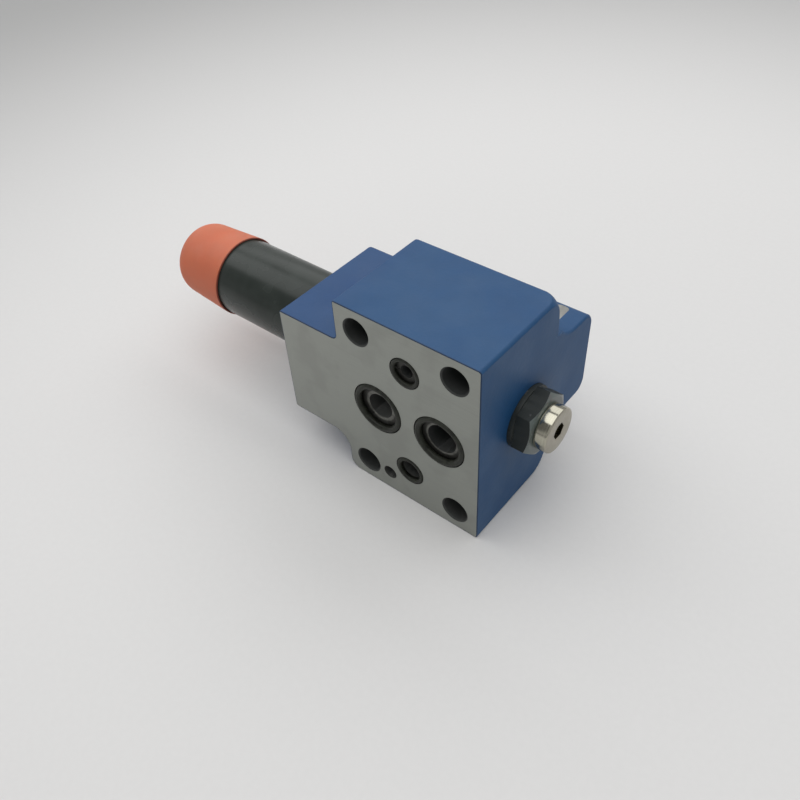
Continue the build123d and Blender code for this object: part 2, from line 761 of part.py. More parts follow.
# Flat seal held under the head of the gauge plug
with BuildPart() as gauge_plug_seal:
    turned(
        [
            (plug_face_x, gauge_seal_inner_d / 2),
            (plug_face_x, gauge_seal_outer_d / 2),
            (plug_face_x + gauge_seal_thickness, gauge_seal_outer_d / 2),
            (plug_face_x + gauge_seal_thickness, gauge_seal_inner_d / 2),
        ]
    )
gauge_plug_seal.part.label = "gauge_plug_seal"
export_step(gauge_plug_seal.part, "parts/gauge_plug_seal.step")


# Seat ring of the check valve
with BuildPart() as check_seat:
    seat_left_x = check_seat_x - check_seat_thickness
    seat_r = check_bore_d / 2 - check_seat_clearance
    turned(
        [
            (seat_left_x, check_seat_hole_d / 2),
            (seat_left_x, seat_r - 0.4),
            (seat_left_x + 0.4, seat_r),
            (check_seat_x, seat_r),
            (check_seat_x, check_seat_hole_d / 2),
        ],
        check_axis,
    )
check_seat.part.label = "check_seat"
export_step(check_seat.part, "parts/check_seat.step")


# Poppet of the check valve, hollow for its spring
with BuildPart() as check_poppet:
    waist_r = poppet_waist_d / 2
    poppet_r = poppet_d / 2 - poppet_clearance
    turned(
        [
            (poppet_left_x, 0),
            (poppet_left_x, poppet_nose_d / 2),
            (cone_end_x, waist_r),
            (waist_end_x, waist_r),
            (waist_end_x, poppet_r),
            (poppet_right_x, poppet_r),
            (poppet_right_x, poppet_pocket_d / 2),
            (poppet_pocket_x, poppet_pocket_d / 2),
            (poppet_pocket_x, 0),
        ],
        check_axis,
    )
    poppet_hole_x = poppet_pocket_x + poppet_hole_d / 2 + 0.1
    for hole_plane in (Plane.XY.offset(-poppet_d), Plane.XZ.offset(-check_axis_y - poppet_d)):
        across = check_axis_y if hole_plane.z_dir.Z else 0
        with BuildSketch(hole_plane):
            with Locations((poppet_hole_x, across)):
                Circle(poppet_hole_d / 2)
        extrude(amount=2 * poppet_d, mode=Mode.SUBTRACT)
check_poppet.part.label = "check_poppet"
export_step(check_poppet.part, "parts/check_poppet.step")


# Spring of the check valve
with BuildPart() as check_spring:
    coil_spring(
        poppet_pocket_x,
        check_bore_right_x,
        check_spring_mean_d,
        check_spring_wire_d,
        check_spring_turns,
        check_axis,
    )
check_spring.part.label = "check_spring"
export_step(check_spring.part, "parts/check_spring.step")


# Screw plug that closes the check valve bore
with BuildPart() as check_plug:
    check_head_x = boss_left_x - check_plug_head_height
    check_plug_end_x = boss_left_x + check_plug_length
    turned(
        [
            (check_head_x, 0),
            (check_head_x, check_plug_head_d / 2 - 0.6),
            (check_head_x + 0.6, check_plug_head_d / 2),
            (boss_left_x, check_plug_head_d / 2),
            (boss_left_x, check_plug_thread_d / 2),
            (check_plug_end_x - 1.0, check_plug_thread_d / 2),
            (check_plug_end_x, check_plug_thread_d / 2 - 1.0),
            (check_plug_end_x, 0),
        ],
        check_axis,
    )
    hexagon(
        check_head_x,
        check_head_x + check_plug_socket_depth,
        check_plug_socket_across_flats,
        check_axis,
        mode=Mode.SUBTRACT,
    )
check_plug.part.label = "check_plug"
export_step(check_plug.part, "parts/check_plug.step")


# Seal ring under the head of the check valve plug
with BuildPart() as check_plug_seal:
    check_seal_middle_x = boss_left_x + check_plug_seal_recess_depth / 2
    check_seal_inner_d = check_plug_thread_d + seal_side_clearance
    seal_ring(check_seal_middle_x, check_seal_inner_d, check_plug_seal_cord, check_axis)
check_plug_seal.part.label = "check_plug_seal"
export_step(check_plug_seal.part, "parts/check_plug_seal.step")
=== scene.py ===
"""Looks of a subplate mounted pressure reducing valve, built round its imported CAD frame.

X runs along the valve axis from the soft cap to the gauge plug, Y from the mounting face into
the body, and Z up. Everything is in metres.
"""

import logging
import math
from collections.abc import Callable, Sequence
from dataclasses import dataclass, field
from enum import Enum

import bmesh
import bpy
from mathutils import Matrix, Vector


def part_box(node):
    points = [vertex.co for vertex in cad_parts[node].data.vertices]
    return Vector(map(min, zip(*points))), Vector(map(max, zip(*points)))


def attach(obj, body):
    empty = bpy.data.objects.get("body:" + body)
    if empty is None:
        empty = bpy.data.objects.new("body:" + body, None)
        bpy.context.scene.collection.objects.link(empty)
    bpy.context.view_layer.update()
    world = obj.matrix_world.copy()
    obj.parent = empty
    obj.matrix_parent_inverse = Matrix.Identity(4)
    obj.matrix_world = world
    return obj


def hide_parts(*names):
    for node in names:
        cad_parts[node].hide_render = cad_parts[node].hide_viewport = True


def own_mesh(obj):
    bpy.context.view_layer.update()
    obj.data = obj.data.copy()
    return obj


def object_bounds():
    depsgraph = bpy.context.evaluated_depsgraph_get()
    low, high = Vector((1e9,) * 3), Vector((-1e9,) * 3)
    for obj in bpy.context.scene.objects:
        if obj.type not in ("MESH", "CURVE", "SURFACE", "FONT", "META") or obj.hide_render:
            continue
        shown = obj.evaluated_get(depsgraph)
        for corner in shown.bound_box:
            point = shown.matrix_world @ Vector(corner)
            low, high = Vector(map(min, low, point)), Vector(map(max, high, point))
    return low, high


log = logging.getLogger("valve")

Colour = tuple[float, float, float]
Socket = bpy.types.NodeSocket

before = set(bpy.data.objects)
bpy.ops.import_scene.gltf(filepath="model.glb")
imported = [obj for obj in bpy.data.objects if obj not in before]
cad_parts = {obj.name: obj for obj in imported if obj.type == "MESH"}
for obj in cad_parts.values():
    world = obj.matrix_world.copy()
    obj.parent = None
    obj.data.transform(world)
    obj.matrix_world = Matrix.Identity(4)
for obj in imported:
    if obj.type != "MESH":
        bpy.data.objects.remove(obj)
cad_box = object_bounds()


class Axis(Enum):
    """The direction a round piece is turned or wound about."""

    ALONG = "X"
    ACROSS = "Y"


class Zone(Enum):
    """The kinds of surface on the valve body, in the order of its material slots."""

    PAINT = 0
    GROUND = 1
    RECESS = 2
    BORE = 3
    SEAT = 4
    EDGE = 5


class Steel(Enum):
    """The steels inside the valve: colour, roughness and depth of the machining marks."""

    GROUND = ((0.30, 0.30, 0.29), 0.26, 0.25)
    TURNED = ((0.40, 0.40, 0.39), 0.36, 0.8)
    ZINC = ((0.60, 0.61, 0.60), 0.30, 0.4)
    WIRE = ((0.13, 0.13, 0.14), 0.40, 0.3)


# Node trees


class Graph:
    """A node tree under construction, with short ways to add and join nodes."""

    def __init__(self, tree: bpy.types.NodeTree) -> None:
        """Starts on an empty tree.

        Args:
            tree: The shader or geometry tree to fill.
        """
        self.tree = tree
        self.material: bpy.types.Material | None = None
        tree.nodes.clear()

    def add(self, kind: str, inputs: dict | None = None, **settings: object) -> bpy.types.Node:
        """Adds one node.

        Args:
            kind: The node's type name.
            inputs: Values or sockets by input name or number.
            settings: Attributes to set on the node before its inputs.

        Returns:
            The new node.
        """
        node = self.tree.nodes.new(kind)
        for name, value in settings.items():
            setattr(node, name, value)
        for key, value in (inputs or {}).items():
            if isinstance(value, bpy.types.NodeSocket):
                self.tree.links.new(value, node.inputs[key])
            else:
                node.inputs[key].default_value = value
        return node

    def math(self, operation: str, *values: float | Socket, clamp: bool = False) -> Socket:
        """Adds one math node and gives its result."""
        kind = "ShaderNodeMath"
        node = self.add(kind, dict(enumerate(values)), operation=operation, use_clamp=clamp)
        return node.outputs[0]

    def ramp(self, value: Socket, low: float, high: float, to: tuple[float, float] = (0, 1)) -> Socket:
        """Stretches a value smoothly from one range to another and gives the result."""
        inputs = {"Value": value, "From Min": low, "From Max": high, "To Min": to[0], "To Max": to[1]}
        node = self.add("ShaderNodeMapRange", inputs, interpolation_type="SMOOTHSTEP")
        return node.outputs[0]

    def blend(self, mask: Socket | float, first: object, second: object) -> Socket:
        """Mixes two colours by a mask and gives the result."""
        first = (*first, 1) if isinstance(first, tuple) else first
        second = (*second, 1) if isinstance(second, tuple) else second
        inputs = {0: mask, 6: first, 7: second}
        return self.add("ShaderNodeMix", inputs, data_type="RGBA").outputs[2]

    def noise(self, place: Socket, scale: float | Socket, detail: float = 3.0) -> Socket:
        """Adds a noise texture read at a place and gives its value."""
        inputs = {"Vector": place, "Scale": scale, "Detail": detail}
        return self.add("ShaderNodeTexNoise", inputs).outputs["Fac"]


def new_group(name: str, inputs: dict[str, object], outputs: Sequence[str]) -> tuple[Graph, Socket, Socket]:
    """Starts a shader node group with named sockets.

    Args:
        name: The group's name.
        inputs: Each input's name and default, a number or a vector.
        outputs: The names of the outputs, all numbers.

    Returns:
        The graph, and its input and output nodes.
    """
    tree = bpy.data.node_groups.new(name, "ShaderNodeTree")
    graph = Graph(tree)
    for label, default in inputs.items():
        kind = "NodeSocketVector" if isinstance(default, tuple) else "NodeSocketFloat"
        socket = tree.interface.new_socket(label, in_out="INPUT", socket_type=kind)
        socket.default_value = default
    for label in outputs:
        tree.interface.new_socket(label, in_out="OUTPUT", socket_type="NodeSocketFloat")
    return graph, graph.add("NodeGroupInput"), graph.add("NodeGroupOutput")


def build_marks_group() -> bpy.types.NodeTree:
    """Builds the group for machining marks: fine lines drawn out along the cutter's path."""
    inputs = {"Stretch": (1.0, 1.0, 1.0), "Wander": 0.0}
    graph, source, sink = new_group("machining_marks", inputs, ["Lines", "Height"])
    place = graph.add("ShaderNodeTexCoord").outputs["Object"]
    drift = graph.noise(place, 60.0, 1.0)
    drift = graph.math("MULTIPLY", graph.math("SUBTRACT", drift, 0.5), source.outputs["Wander"])
    drifted = graph.add("ShaderNodeVectorMath", {0: place, 1: drift}, operation="ADD").outputs[0]
    inputs = {0: drifted, 1: source.outputs["Stretch"]}
    drawn = graph.add("ShaderNodeVectorMath", inputs, operation="MULTIPLY").outputs[0]
    fine = graph.noise(drawn, 1.0, 4.0)
    broad = graph.noise(drawn, 0.21, 2.0)
    lines = graph.math("ADD", graph.math("MULTIPLY", fine, 0.65), graph.math("MULTIPLY", broad, 0.35))
    graph.tree.links.new(graph.ramp(lines, 0.36, 0.64), sink.inputs["Lines"])
    graph.tree.links.new(fine, sink.inputs["Height"])
    return graph.tree


def build_grain_group() -> bpy.types.NodeTree:
    """Builds the group for cast and moulded grain: soft blotches with fine grain on them."""
    inputs = {"Blotch Scale": 40.0, "Grain Scale": 900.0}
    graph, source, sink = new_group("surface_grain", inputs, ["Blotches", "Grain"])
    place = graph.add("ShaderNodeTexCoord").outputs["Object"]
    blotches = graph.noise(place, source.outputs["Blotch Scale"], 3.0)
    grain = graph.noise(place, source.outputs["Grain Scale"], 3.0)
    graph.tree.links.new(graph.ramp(blotches, 0.3, 0.7), sink.inputs["Blotches"])
    graph.tree.links.new(grain, sink.inputs["Grain"])
    return graph.tree


def build_wear_group() -> bpy.types.NodeTree:
    """Builds the group for wear: patches broken up by noise, kept to a given region."""
    inputs = {"Region": 1.0, "Amount": 0.5, "Scale": 300.0}
    graph, source, sink = new_group("edge_wear", inputs, ["Mask"])
    place = graph.add("ShaderNodeTexCoord").outputs["Object"]
    noise = graph.noise(place, source.outputs["Scale"], 5.0)
    level = graph.math("SUBTRACT", 0.8, graph.math("MULTIPLY", source.outputs["Amount"], 0.6))
    above = graph.math("MULTIPLY", graph.math("SUBTRACT", noise, level), 14.0, clamp=True)
    graph.tree.links.new(graph.math("MULTIPLY", above, source.outputs["Region"]), sink.inputs["Mask"])
    return graph.tree


def build_dust_group() -> bpy.types.NodeTree:
    """Builds the group for dust: a faint film on what faces up, thicker in patches."""
    graph, source, sink = new_group("settled_dust", {"Amount": 0.1}, ["Mask"])
    normal = graph.add("ShaderNodeNewGeometry").outputs["Normal"]
    upward = graph.add("ShaderNodeSeparateXYZ", {0: normal}).outputs["Z"]
    place = graph.add("ShaderNodeTexCoord").outputs["Object"]
    patch = graph.ramp(graph.noise(place, 90.0, 6.0), 0.35, 0.75)
    mask = graph.math("MULTIPLY", graph.ramp(upward, 0.2, 0.95), patch)
    mask = graph.math("MULTIPLY", mask, source.outputs["Amount"], clamp=True)
    graph.tree.links.new(mask, sink.inputs["Mask"])
    return graph.tree


def build_disc_group() -> bpy.types.NodeTree:
    """Builds the group for round masks on the mounting face, a disc with a soft rim; it places the painted highlight
    rings in the port recesses.
    """
    inputs = {"X": 0.0, "Z": 0.0, "Radius": 0.007, "Rim": 0.0003}
    graph, source, sink = new_group("round_highlight_mask", inputs, ["Mask"])
    place = graph.add("ShaderNodeTexCoord").outputs["Object"]
    now = graph.add("ShaderNodeSeparateXYZ", {0: place})
    aside = graph.math("SUBTRACT", now.outputs["X"], source.outputs["X"])
    above = graph.math("SUBTRACT", now.outputs["Z"], source.outputs["Z"])
    square = graph.math("ADD", graph.math("MULTIPLY", aside, aside), graph.math("MULTIPLY", above, above))
    inside = graph.math("SUBTRACT", source.outputs["Radius"], graph.math("SQRT", square))
    share = graph.math("DIVIDE", inside, source.outputs["Rim"])
    graph.tree.links.new(graph.math("ADD", share, 0.5, clamp=True), sink.inputs["Mask"])
    return graph.tree


# Finishes


@dataclass(frozen=True)
class Finish:
    """What every finish has: a name, a colour and a gloss, and the groups that it shares."""

    name: str
    colour: Colour
    roughness: float

    def start(self) -> tuple[Graph, bpy.types.Node]:
        """Makes the material with its shader and output.

        Returns:
            The graph and its Principled BSDF.
        """
        material = bpy.data.materials.new(f"{self.name}_finish")
        material.use_nodes = True
        graph = Graph(material.node_tree)
        graph.material = material
        shader = graph.add("ShaderNodeBsdfPrincipled")
        graph.add("ShaderNodeOutputMaterial", {"Surface": shader.outputs[0]})
        return graph, shader

    def group(self, graph: Graph, name: str, inputs: dict[str, object]) -> bpy.types.Node:
        """Places one of the shared node groups.

        Args:
            graph: The material's graph.
            name: The group's name.
            inputs: Values for the group's inputs.

        Returns:
            The group's node.
        """
        node = graph.add("ShaderNodeGroup", node_tree=bpy.data.node_groups[name])
        for label, value in inputs.items():
            if isinstance(value, bpy.types.NodeSocket):
                graph.tree.links.new(value, node.inputs[label])
            else:
                node.inputs[label].default_value = value
        return node

    def relief(self, graph: Graph, shader: bpy.types.Node, height: Socket, depth: float) -> None:
        """Presses a height into the surface.

        Args:
            graph: The material's graph.
            shader: The shader that takes the normal.
            height: The height, from 0 to 1.
            depth: How deep the full height is, in metres.
        """
        bump = graph.add("ShaderNodeBump", {"Strength": 1.0, "Distance": depth, "Height": height})
        graph.tree.links.new(bump.outputs["Normal"], shader.inputs["Normal"])

    def build(self) -> bpy.types.Material:
        """Builds the material. Each kind of finish has its own way."""
        raise NotImplementedError


@dataclass(frozen=True)
class PaintFinish(Finish):
    """Sprayed machine paint on a casting: two close blues with a soft orange peel on them."""

    second: Colour = (0.007, 0.052, 0.166)
    second_from: float = -0.020
    second_to: float = -0.045
    dust: float = 0.015

    def build(self) -> bpy.types.Material:
        """Builds the paint."""
        graph, shader = self.start()
        place = graph.add("ShaderNodeTexCoord").outputs["Object"]
        grain = self.group(graph, "surface_grain", {"Blotch Scale": 34.0, "Grain Scale": 950.0})
        blotches = grain.outputs["Blotches"]
        along = graph.add("ShaderNodeSeparateXYZ", {0: place}).outputs["X"]
        neck = graph.ramp(along, self.second_to, self.second_from, (1.0, 0.0))
        share = graph.math("ADD", graph.math("MULTIPLY", neck, 0.7), graph.math("MULTIPLY", blotches, 0.25))
        colour = graph.blend(share, self.colour, self.second)
        deep = graph.ramp(graph.noise(place, 120.0, 4.0), 0.3, 0.7, (0.0, 0.10))
        colour = graph.blend(deep, colour, tuple(c * 0.5 for c in self.colour))
        dust = self.group(graph, "settled_dust", {"Amount": self.dust}).outputs["Mask"]
        colour = graph.blend(dust, colour, (0.36, 0.38, 0.40))
        graph.tree.links.new(colour, shader.inputs["Base Color"])
        rough = graph.ramp(blotches, 0, 1, (self.roughness - 0.03, self.roughness + 0.04))
        graph.tree.links.new(rough, shader.inputs["Roughness"])
        peel = graph.noise(place, 330.0, 2.0)
        height = graph.math("ADD", graph.math("MULTIPLY", grain.outputs["Grain"], 0.3), graph.math("MULTIPLY", peel, 0.7))
        self.relief(graph, shader, height, 0.00010)
        shader.inputs["IOR"].default_value = 1.45
        shader.inputs["Specular IOR Level"].default_value = 0.5
        return graph.material


@dataclass(frozen=True)
class MachinedFinish(Finish):
    """Bare metal that shows its cutter's path, with smudges and small stains."""

    stretch: tuple[float, float, float] = (20.0, 900.0, 3000.0)
    stain: Colour = (0.12, 0.12, 0.11)
    stain_amount: float = 0.3
    depth: float = 0.00002
    metallic: float = 0.9
    wander: float = 0.0
    contrast: float = 0.11

    def build(self) -> bpy.types.Material:
        """Builds the machined metal."""
        graph, shader = self.start()
        marks = self.group(graph, "machining_marks", {"Stretch": self.stretch, "Wander": self.wander})
        dark = tuple(c * (1 - self.contrast) for c in self.colour)
        light = tuple(min(1.0, c * (1 + self.contrast)) for c in self.colour)
        colour = graph.blend(marks.outputs["Lines"], dark, light)
        grain = self.group(graph, "surface_grain", {"Blotch Scale": 55.0, "Grain Scale": 1400.0})
        smudge = graph.ramp(grain.outputs["Blotches"], 0.45, 1.0, (0, self.stain_amount))
        colour = graph.blend(smudge, colour, self.stain)
        graph.tree.links.new(colour, shader.inputs["Base Color"])
        low, high = self.roughness - 0.06, self.roughness + 0.08
        rough = graph.ramp(marks.outputs["Lines"], 0, 1, (low, high))
        rough = graph.math("ADD", rough, graph.math("MULTIPLY", smudge, 0.2))
        graph.tree.links.new(rough, shader.inputs["Roughness"])
        self.relief(graph, shader, marks.outputs["Height"], self.depth)
        shader.inputs["Metallic"].default_value = self.metallic
        return graph.material


@dataclass(frozen=True)
class RecessFinish(Finish):
    """Dark seal recesses with darker blotches, lighter in a narrow ring round the larger bores as a painted highlight
    of the bores' lips.
    """

    # bright is the colour of the painted highlight on each bore's lip.
    bright: Colour = (0.17, 0.17, 0.155)
    rings: tuple[tuple[float, float, float], ...] = ((-0.01425, 0.0, 0.0068), (0.01435, 0.0, 0.0071))

    def build(self) -> bpy.types.Material:
        """Builds the recess metal."""
        graph, shader = self.start()
        grain = self.group(graph, "surface_grain", {"Blotch Scale": 420.0, "Grain Scale": 2200.0})
        dark = tuple(c * 0.6 for c in self.colour)
        colour = graph.blend(grain.outputs["Blotches"], dark, self.colour)
        # A lighter ring round each larger bore, broken up by blotches: painted highlight of the bore's lip.
        lip_highlight: Socket | float = 0.0
        for x, z, radius in self.rings:
            disc = self.group(graph, "round_highlight_mask", {"X": x, "Z": z, "Radius": radius, "Rim": 0.0005})
            lip_highlight = graph.math("ADD", lip_highlight, disc.outputs["Mask"], clamp=True)
        highlight_patches = graph.ramp(grain.outputs["Blotches"], 0.0, 1.0, (0.45, 1.0))
        lip_highlight = graph.math("MULTIPLY", lip_highlight, highlight_patches)
        colour = graph.blend(lip_highlight, colour, self.bright)
        graph.tree.links.new(colour, shader.inputs["Base Color"])
        rough = graph.ramp(grain.outputs["Grain"], 0.3, 0.7, (self.roughness - 0.06, self.roughness + 0.06))
        graph.tree.links.new(rough, shader.inputs["Roughness"])
        self.relief(graph, shader, grain.outputs["Grain"], 0.00001)
        shader.inputs["Metallic"].default_value = 0.6
        return graph.material


@dataclass(frozen=True)
class BlackFinish(Finish):
    """Blackened or black coated steel: turned, smooth and a little uneven."""

    stretch: tuple[float, float, float] = (2600.0, 12.0, 12.0)
    depth: float = 0.00001
    coat: float = 0.0
    rubbed: Colour = (0.10, 0.10, 0.10)
    rub_amount: float = 0.2
    dust: float = 0.035
    gloss: float = 0.5

    def build(self) -> bpy.types.Material:
        """Builds the black steel."""
        graph, shader = self.start()
        marks = self.group(graph, "machining_marks", {"Stretch": self.stretch, "Wander": 0.0})
        grain = self.group(graph, "surface_grain", {"Blotch Scale": 45.0, "Grain Scale": 1200.0})
        lighter = tuple(c * 1.5 + 0.003 for c in self.colour)
        colour = graph.blend(grain.outputs["Blotches"], self.colour, lighter)
        wear = self.group(graph, "edge_wear", {"Amount": self.rub_amount, "Scale": 260.0})
        colour = graph.blend(wear.outputs["Mask"], colour, self.rubbed)
        dust = self.group(graph, "settled_dust", {"Amount": self.dust}).outputs["Mask"]
        colour = graph.blend(dust, colour, (0.4, 0.4, 0.4))
        graph.tree.links.new(colour, shader.inputs["Base Color"])
        low, high = self.roughness - 0.04, self.roughness + 0.06
        rough = graph.ramp(grain.outputs["Blotches"], 0, 1, (low, high))
        graph.tree.links.new(rough, shader.inputs["Roughness"])
        fine = graph.math("MULTIPLY", grain.outputs["Grain"], 0.4)
        height = graph.math("ADD", graph.math("MULTIPLY", marks.outputs["Height"], 0.6), fine)
        self.relief(graph, shader, height, self.depth)
        shader.inputs["Specular IOR Level"].default_value = self.gloss
        shader.inputs["Coat Weight"].default_value = self.coat
        shader.inputs["Coat Roughness"].default_value = 0.12
        return graph.material


@dataclass(frozen=True)
class SoftPlasticFinish(Finish):
    """Soft moulded plastic that lets a little light into its wall, darker at its open rim with painted shade."""

    rim: Colour = (0.20, 0.045, 0.025)
    rim_x: float = -0.1165
    rim_width: float = 0.0007

    def build(self) -> bpy.types.Material:
        """Builds the plastic."""
        graph, shader = self.start()
        grain = self.group(graph, "surface_grain", {"Blotch Scale": 35.0, "Grain Scale": 1500.0})
        deep = tuple(c * 0.93 for c in self.colour)
        light = tuple(min(1.0, c * 1.07) for c in self.colour)
        colour = graph.blend(grain.outputs["Blotches"], deep, light)
        place = graph.add("ShaderNodeTexCoord").outputs["Object"]
        along = graph.add("ShaderNodeSeparateXYZ", {0: place}).outputs["X"]
        # Darker red-brown towards the open rim: painted shade where the cap's mouth meets the sleeve.
        shut = graph.ramp(along, self.rim_x - self.rim_width, self.rim_x - self.rim_width * 0.3)
        colour = graph.blend(shut, colour, self.rim)
        dust = self.group(graph, "settled_dust", {"Amount": 0.06}).outputs["Mask"]
        colour = graph.blend(dust, colour, (0.75, 0.6, 0.5))
        graph.tree.links.new(colour, shader.inputs["Base Color"])
        low, high = self.roughness - 0.05, self.roughness + 0.07
        rough = graph.ramp(grain.outputs["Blotches"], 0, 1, (low, high))
        graph.tree.links.new(rough, shader.inputs["Roughness"])
        height = graph.math("ADD", grain.outputs["Blotches"], graph.math("MULTIPLY", grain.outputs["Grain"], 0.2))
        self.relief(graph, shader, height, 0.00012)
        shader.inputs["Subsurface Weight"].default_value = 0.25
        shader.inputs["Subsurface Radius"].default_value = (1.0, 0.35, 0.15)
        shader.inputs["Subsurface Scale"].default_value = 0.002
        shader.inputs["IOR"].default_value = 1.47
        shader.inputs["Specular IOR Level"].default_value = 0.35
        return graph.material


@dataclass(frozen=True)
class RubberFinish(Finish):
    """Moulded seal rubber, faintly oily."""

    def build(self) -> bpy.types.Material:
        """Builds the rubber."""
        graph, shader = self.start()
        grain = self.group(graph, "surface_grain", {"Blotch Scale": 520.0, "Grain Scale": 2600.0})
        lighter = tuple(c * 2.6 for c in self.colour)
        colour = graph.blend(grain.outputs["Blotches"], self.colour, lighter)
        graph.tree.links.new(colour, shader.inputs["Base Color"])
        low, high = self.roughness - 0.1, self.roughness + 0.1
        rough = graph.ramp(grain.outputs["Blotches"], 0, 1, (low, high))
        graph.tree.links.new(rough, shader.inputs["Roughness"])
        self.relief(graph, shader, grain.outputs["Grain"], 0.00002)
        shader.inputs["Specular IOR Level"].default_value = 0.25
        return graph.material


@dataclass(frozen=True)
class FloorFinish(Finish):
    """The pale table the valve lies on, darker away from the valve as a painted fall-off of the light, with a faint
    fibre.
    """

    far: Colour = (0.35, 0.35, 0.35)
    middle: tuple[float, float] = (0.02, 0.10)
    reach: tuple[float, float] = (0.2, 0.75)

    def build(self) -> bpy.types.Material:
        """Builds the floor."""
        graph, shader = self.start()
        place = graph.add("ShaderNodeTexCoord").outputs["Object"]
        inputs = {0: place, 1: (*self.middle, -0.0429)}
        offset = graph.add("ShaderNodeVectorMath", inputs, operation="SUBTRACT").outputs[0]
        distance = graph.add("ShaderNodeVectorMath", {0: offset}, operation="LENGTH").outputs["Value"]
        # Darker with distance from the valve: painted fall-off of the light across the table.
        colour = graph.blend(graph.ramp(distance, *self.reach), self.colour, self.far)
        fibre = graph.noise(place, 420.0, 5.0)
        shade = graph.ramp(fibre, 0.3, 0.7, (0.0, 0.022))
        colour = graph.blend(shade, colour, (0.3, 0.3, 0.3))
        graph.tree.links.new(colour, shader.inputs["Base Color"])
        shader.inputs["Roughness"].default_value = self.roughness
        shader.inputs["Specular IOR Level"].default_value = 0.2
        self.relief(graph, shader, fibre, 0.00004)
        return graph.material


# Shapes


def round_off(points: Sequence[tuple[float, float]], radius: float, steps: int = 3) -> list[tuple[float, float]]:
    """Rounds every corner of a closed outline.

    Args:
        points: The outline's (x, radius) corners in order.
        radius: The corner radius, made smaller on short sides.
        steps: How many points make each rounded corner.

    Returns:
        The softened outline.
    """
    softened = []
    count = len(points)
    for index, point in enumerate(points):
        corner = Vector(point)
        before = Vector(points[index - 1]) - corner
        after = Vector(points[(index + 1) % count]) - corner
        if before.length < 1e-9 or after.length < 1e-9 or corner.y < 1e-9:
            softened.append(tuple(corner))
            continue
        opening = before.angle(after)
        if opening > math.radians(160):
            softened.append(tuple(corner))
            continue
        reach = min(radius / math.tan(opening / 2), before.length * 0.4, after.length * 0.4)
        start = corner + before.normalized() * reach
        end = corner + after.normalized() * reach
        for step in range(steps):
            t = step / (steps - 1)
            softened.append(tuple(start * (1 - t) ** 2 + corner * 2 * t * (1 - t) + end * t**2))
    return softened


def hex_radius(angle: float, across_flats: float, corner_radius: float) -> float:
    """Gives the distance from the centre of a hexagon to its side.

    Args:
        angle: The direction, in radians from a corner.
        across_flats: The hexagon's size.
        corner_radius: How far its corners are rounded.

    Returns:
        The distance along that direction.
    """
    apothem = across_flats / 2
    sixth = math.pi / 3
    from_corner = abs((angle + sixth / 2) % sixth - sixth / 2)
    reach = (apothem - corner_radius) / math.cos(sixth / 2)
    half = math.atan2(corner_radius * 0.5, reach + corner_radius * math.cos(sixth / 2))
    if from_corner < half:
        inner = max(0.0, corner_radius**2 - (reach * math.sin(from_corner)) ** 2)
        return reach * math.cos(from_corner) + math.sqrt(inner)
    return apothem / math.cos(sixth / 2 - from_corner)


@dataclass(frozen=True)
class Ring:
    """One ring of a turned piece: where it is, how wide, and whether it is a hexagon there."""

    x: float
    radius: float
    flats: float = 0.0
    crown: float = 0.0

    def at(self, angle: float, corner_radius: float) -> tuple[float, float]:
        """Gives the ring's place and radius in one direction."""
        if not self.flats:
            return self.x, self.radius
        side = hex_radius(angle, self.flats, corner_radius)
        if self.crown:
            return self.x - self.crown * max(0.0, side - self.radius), side
        return self.x, min(side, self.radius) if self.radius else side


@dataclass
class Lathe:
    """Turns outlines into smooth meshes about an axis that runs along X."""

    centre_y: float
    segments: int = 128
    corner_radius: float = 0.0003

    def angles(self, turn: float | None) -> list[float]:
        """Gives the directions of the mesh's sides, closer together at a hexagon's corners."""
        if turn is None:
            return [2 * math.pi * step / self.segments for step in range(self.segments)]
        steps = (-30, -24, -18, -12, -8, -5, -3, -1.6, -0.8, 0, 0.8, 1.6, 3, 5, 8, 12, 18, 24)
        return [math.radians(60 * side + step) + turn for side in range(6) for step in steps]

    def mesh(self, name: str, rings: Sequence[Ring], turn: float | None = None) -> bpy.types.Mesh:
        """Makes the mesh of a turned piece.

        Args:
            name: The mesh's name.
            rings: The closed outline. A ring of no radius is a pole.
            turn: A hexagon's corner direction, or None on a round piece.

        Returns:
            The mesh, with its faces outwards.
        """
        angles = self.angles(turn)
        shape = bmesh.new()
        rows = []
        for ring in rings:
            if ring.radius < 1e-9 and not ring.flats:
                rows.append([shape.verts.new((ring.x, self.centre_y, 0))])
                continue
            row = []
            for angle in angles:
                x, radius = ring.at(angle - (turn or 0.0), self.corner_radius)
                side = (x, self.centre_y + radius * math.cos(angle), radius * math.sin(angle))
                row.append(shape.verts.new(side))
            rows.append(row)
        for row, following in zip(rows, rows[1:] + rows[:1]):
            if len(row) == 1 and len(following) == 1:
                continue
            for step in range(len(angles)):
                ahead = (step + 1) % len(angles)
                if len(row) == 1:
                    corners = (row[0], following[ahead], following[step])
                elif len(following) == 1:
                    corners = (row[step], row[ahead], following[0])
                else:
                    corners = (row[step], row[ahead], following[ahead], following[step])
                shape.faces.new(corners)
        bmesh.ops.recalc_face_normals(shape, faces=shape.faces)
        mesh = bpy.data.meshes.new(name)
        shape.to_mesh(mesh)
        shape.free()
        return mesh


def shade(mesh: bpy.types.Mesh, angle: float = 32.0) -> None:
    """Shades a mesh smooth, with its sharp edges kept."""
    mesh.polygons.foreach_set("use_smooth", [True] * len(mesh.polygons))
    mesh.set_sharp_from_angle(angle=math.radians(angle))


def face_off(mesh: bpy.types.Mesh, material: bpy.types.Material, beyond: float, turn: float = 0.35) -> None:
    """Gives the end face of a turned piece a finish of its own.

    Args:
        mesh: The piece's mesh, with its first material in place.
        material: The end face's finish.
        beyond: The place along X past which faces count.
        turn: How far towards X a face must look, as the X of its normal.
    """
    mesh.materials.append(material)
    for face in mesh.polygons:
        if face.center.x > beyond and face.normal.x > turn:
            face.material_index = 1


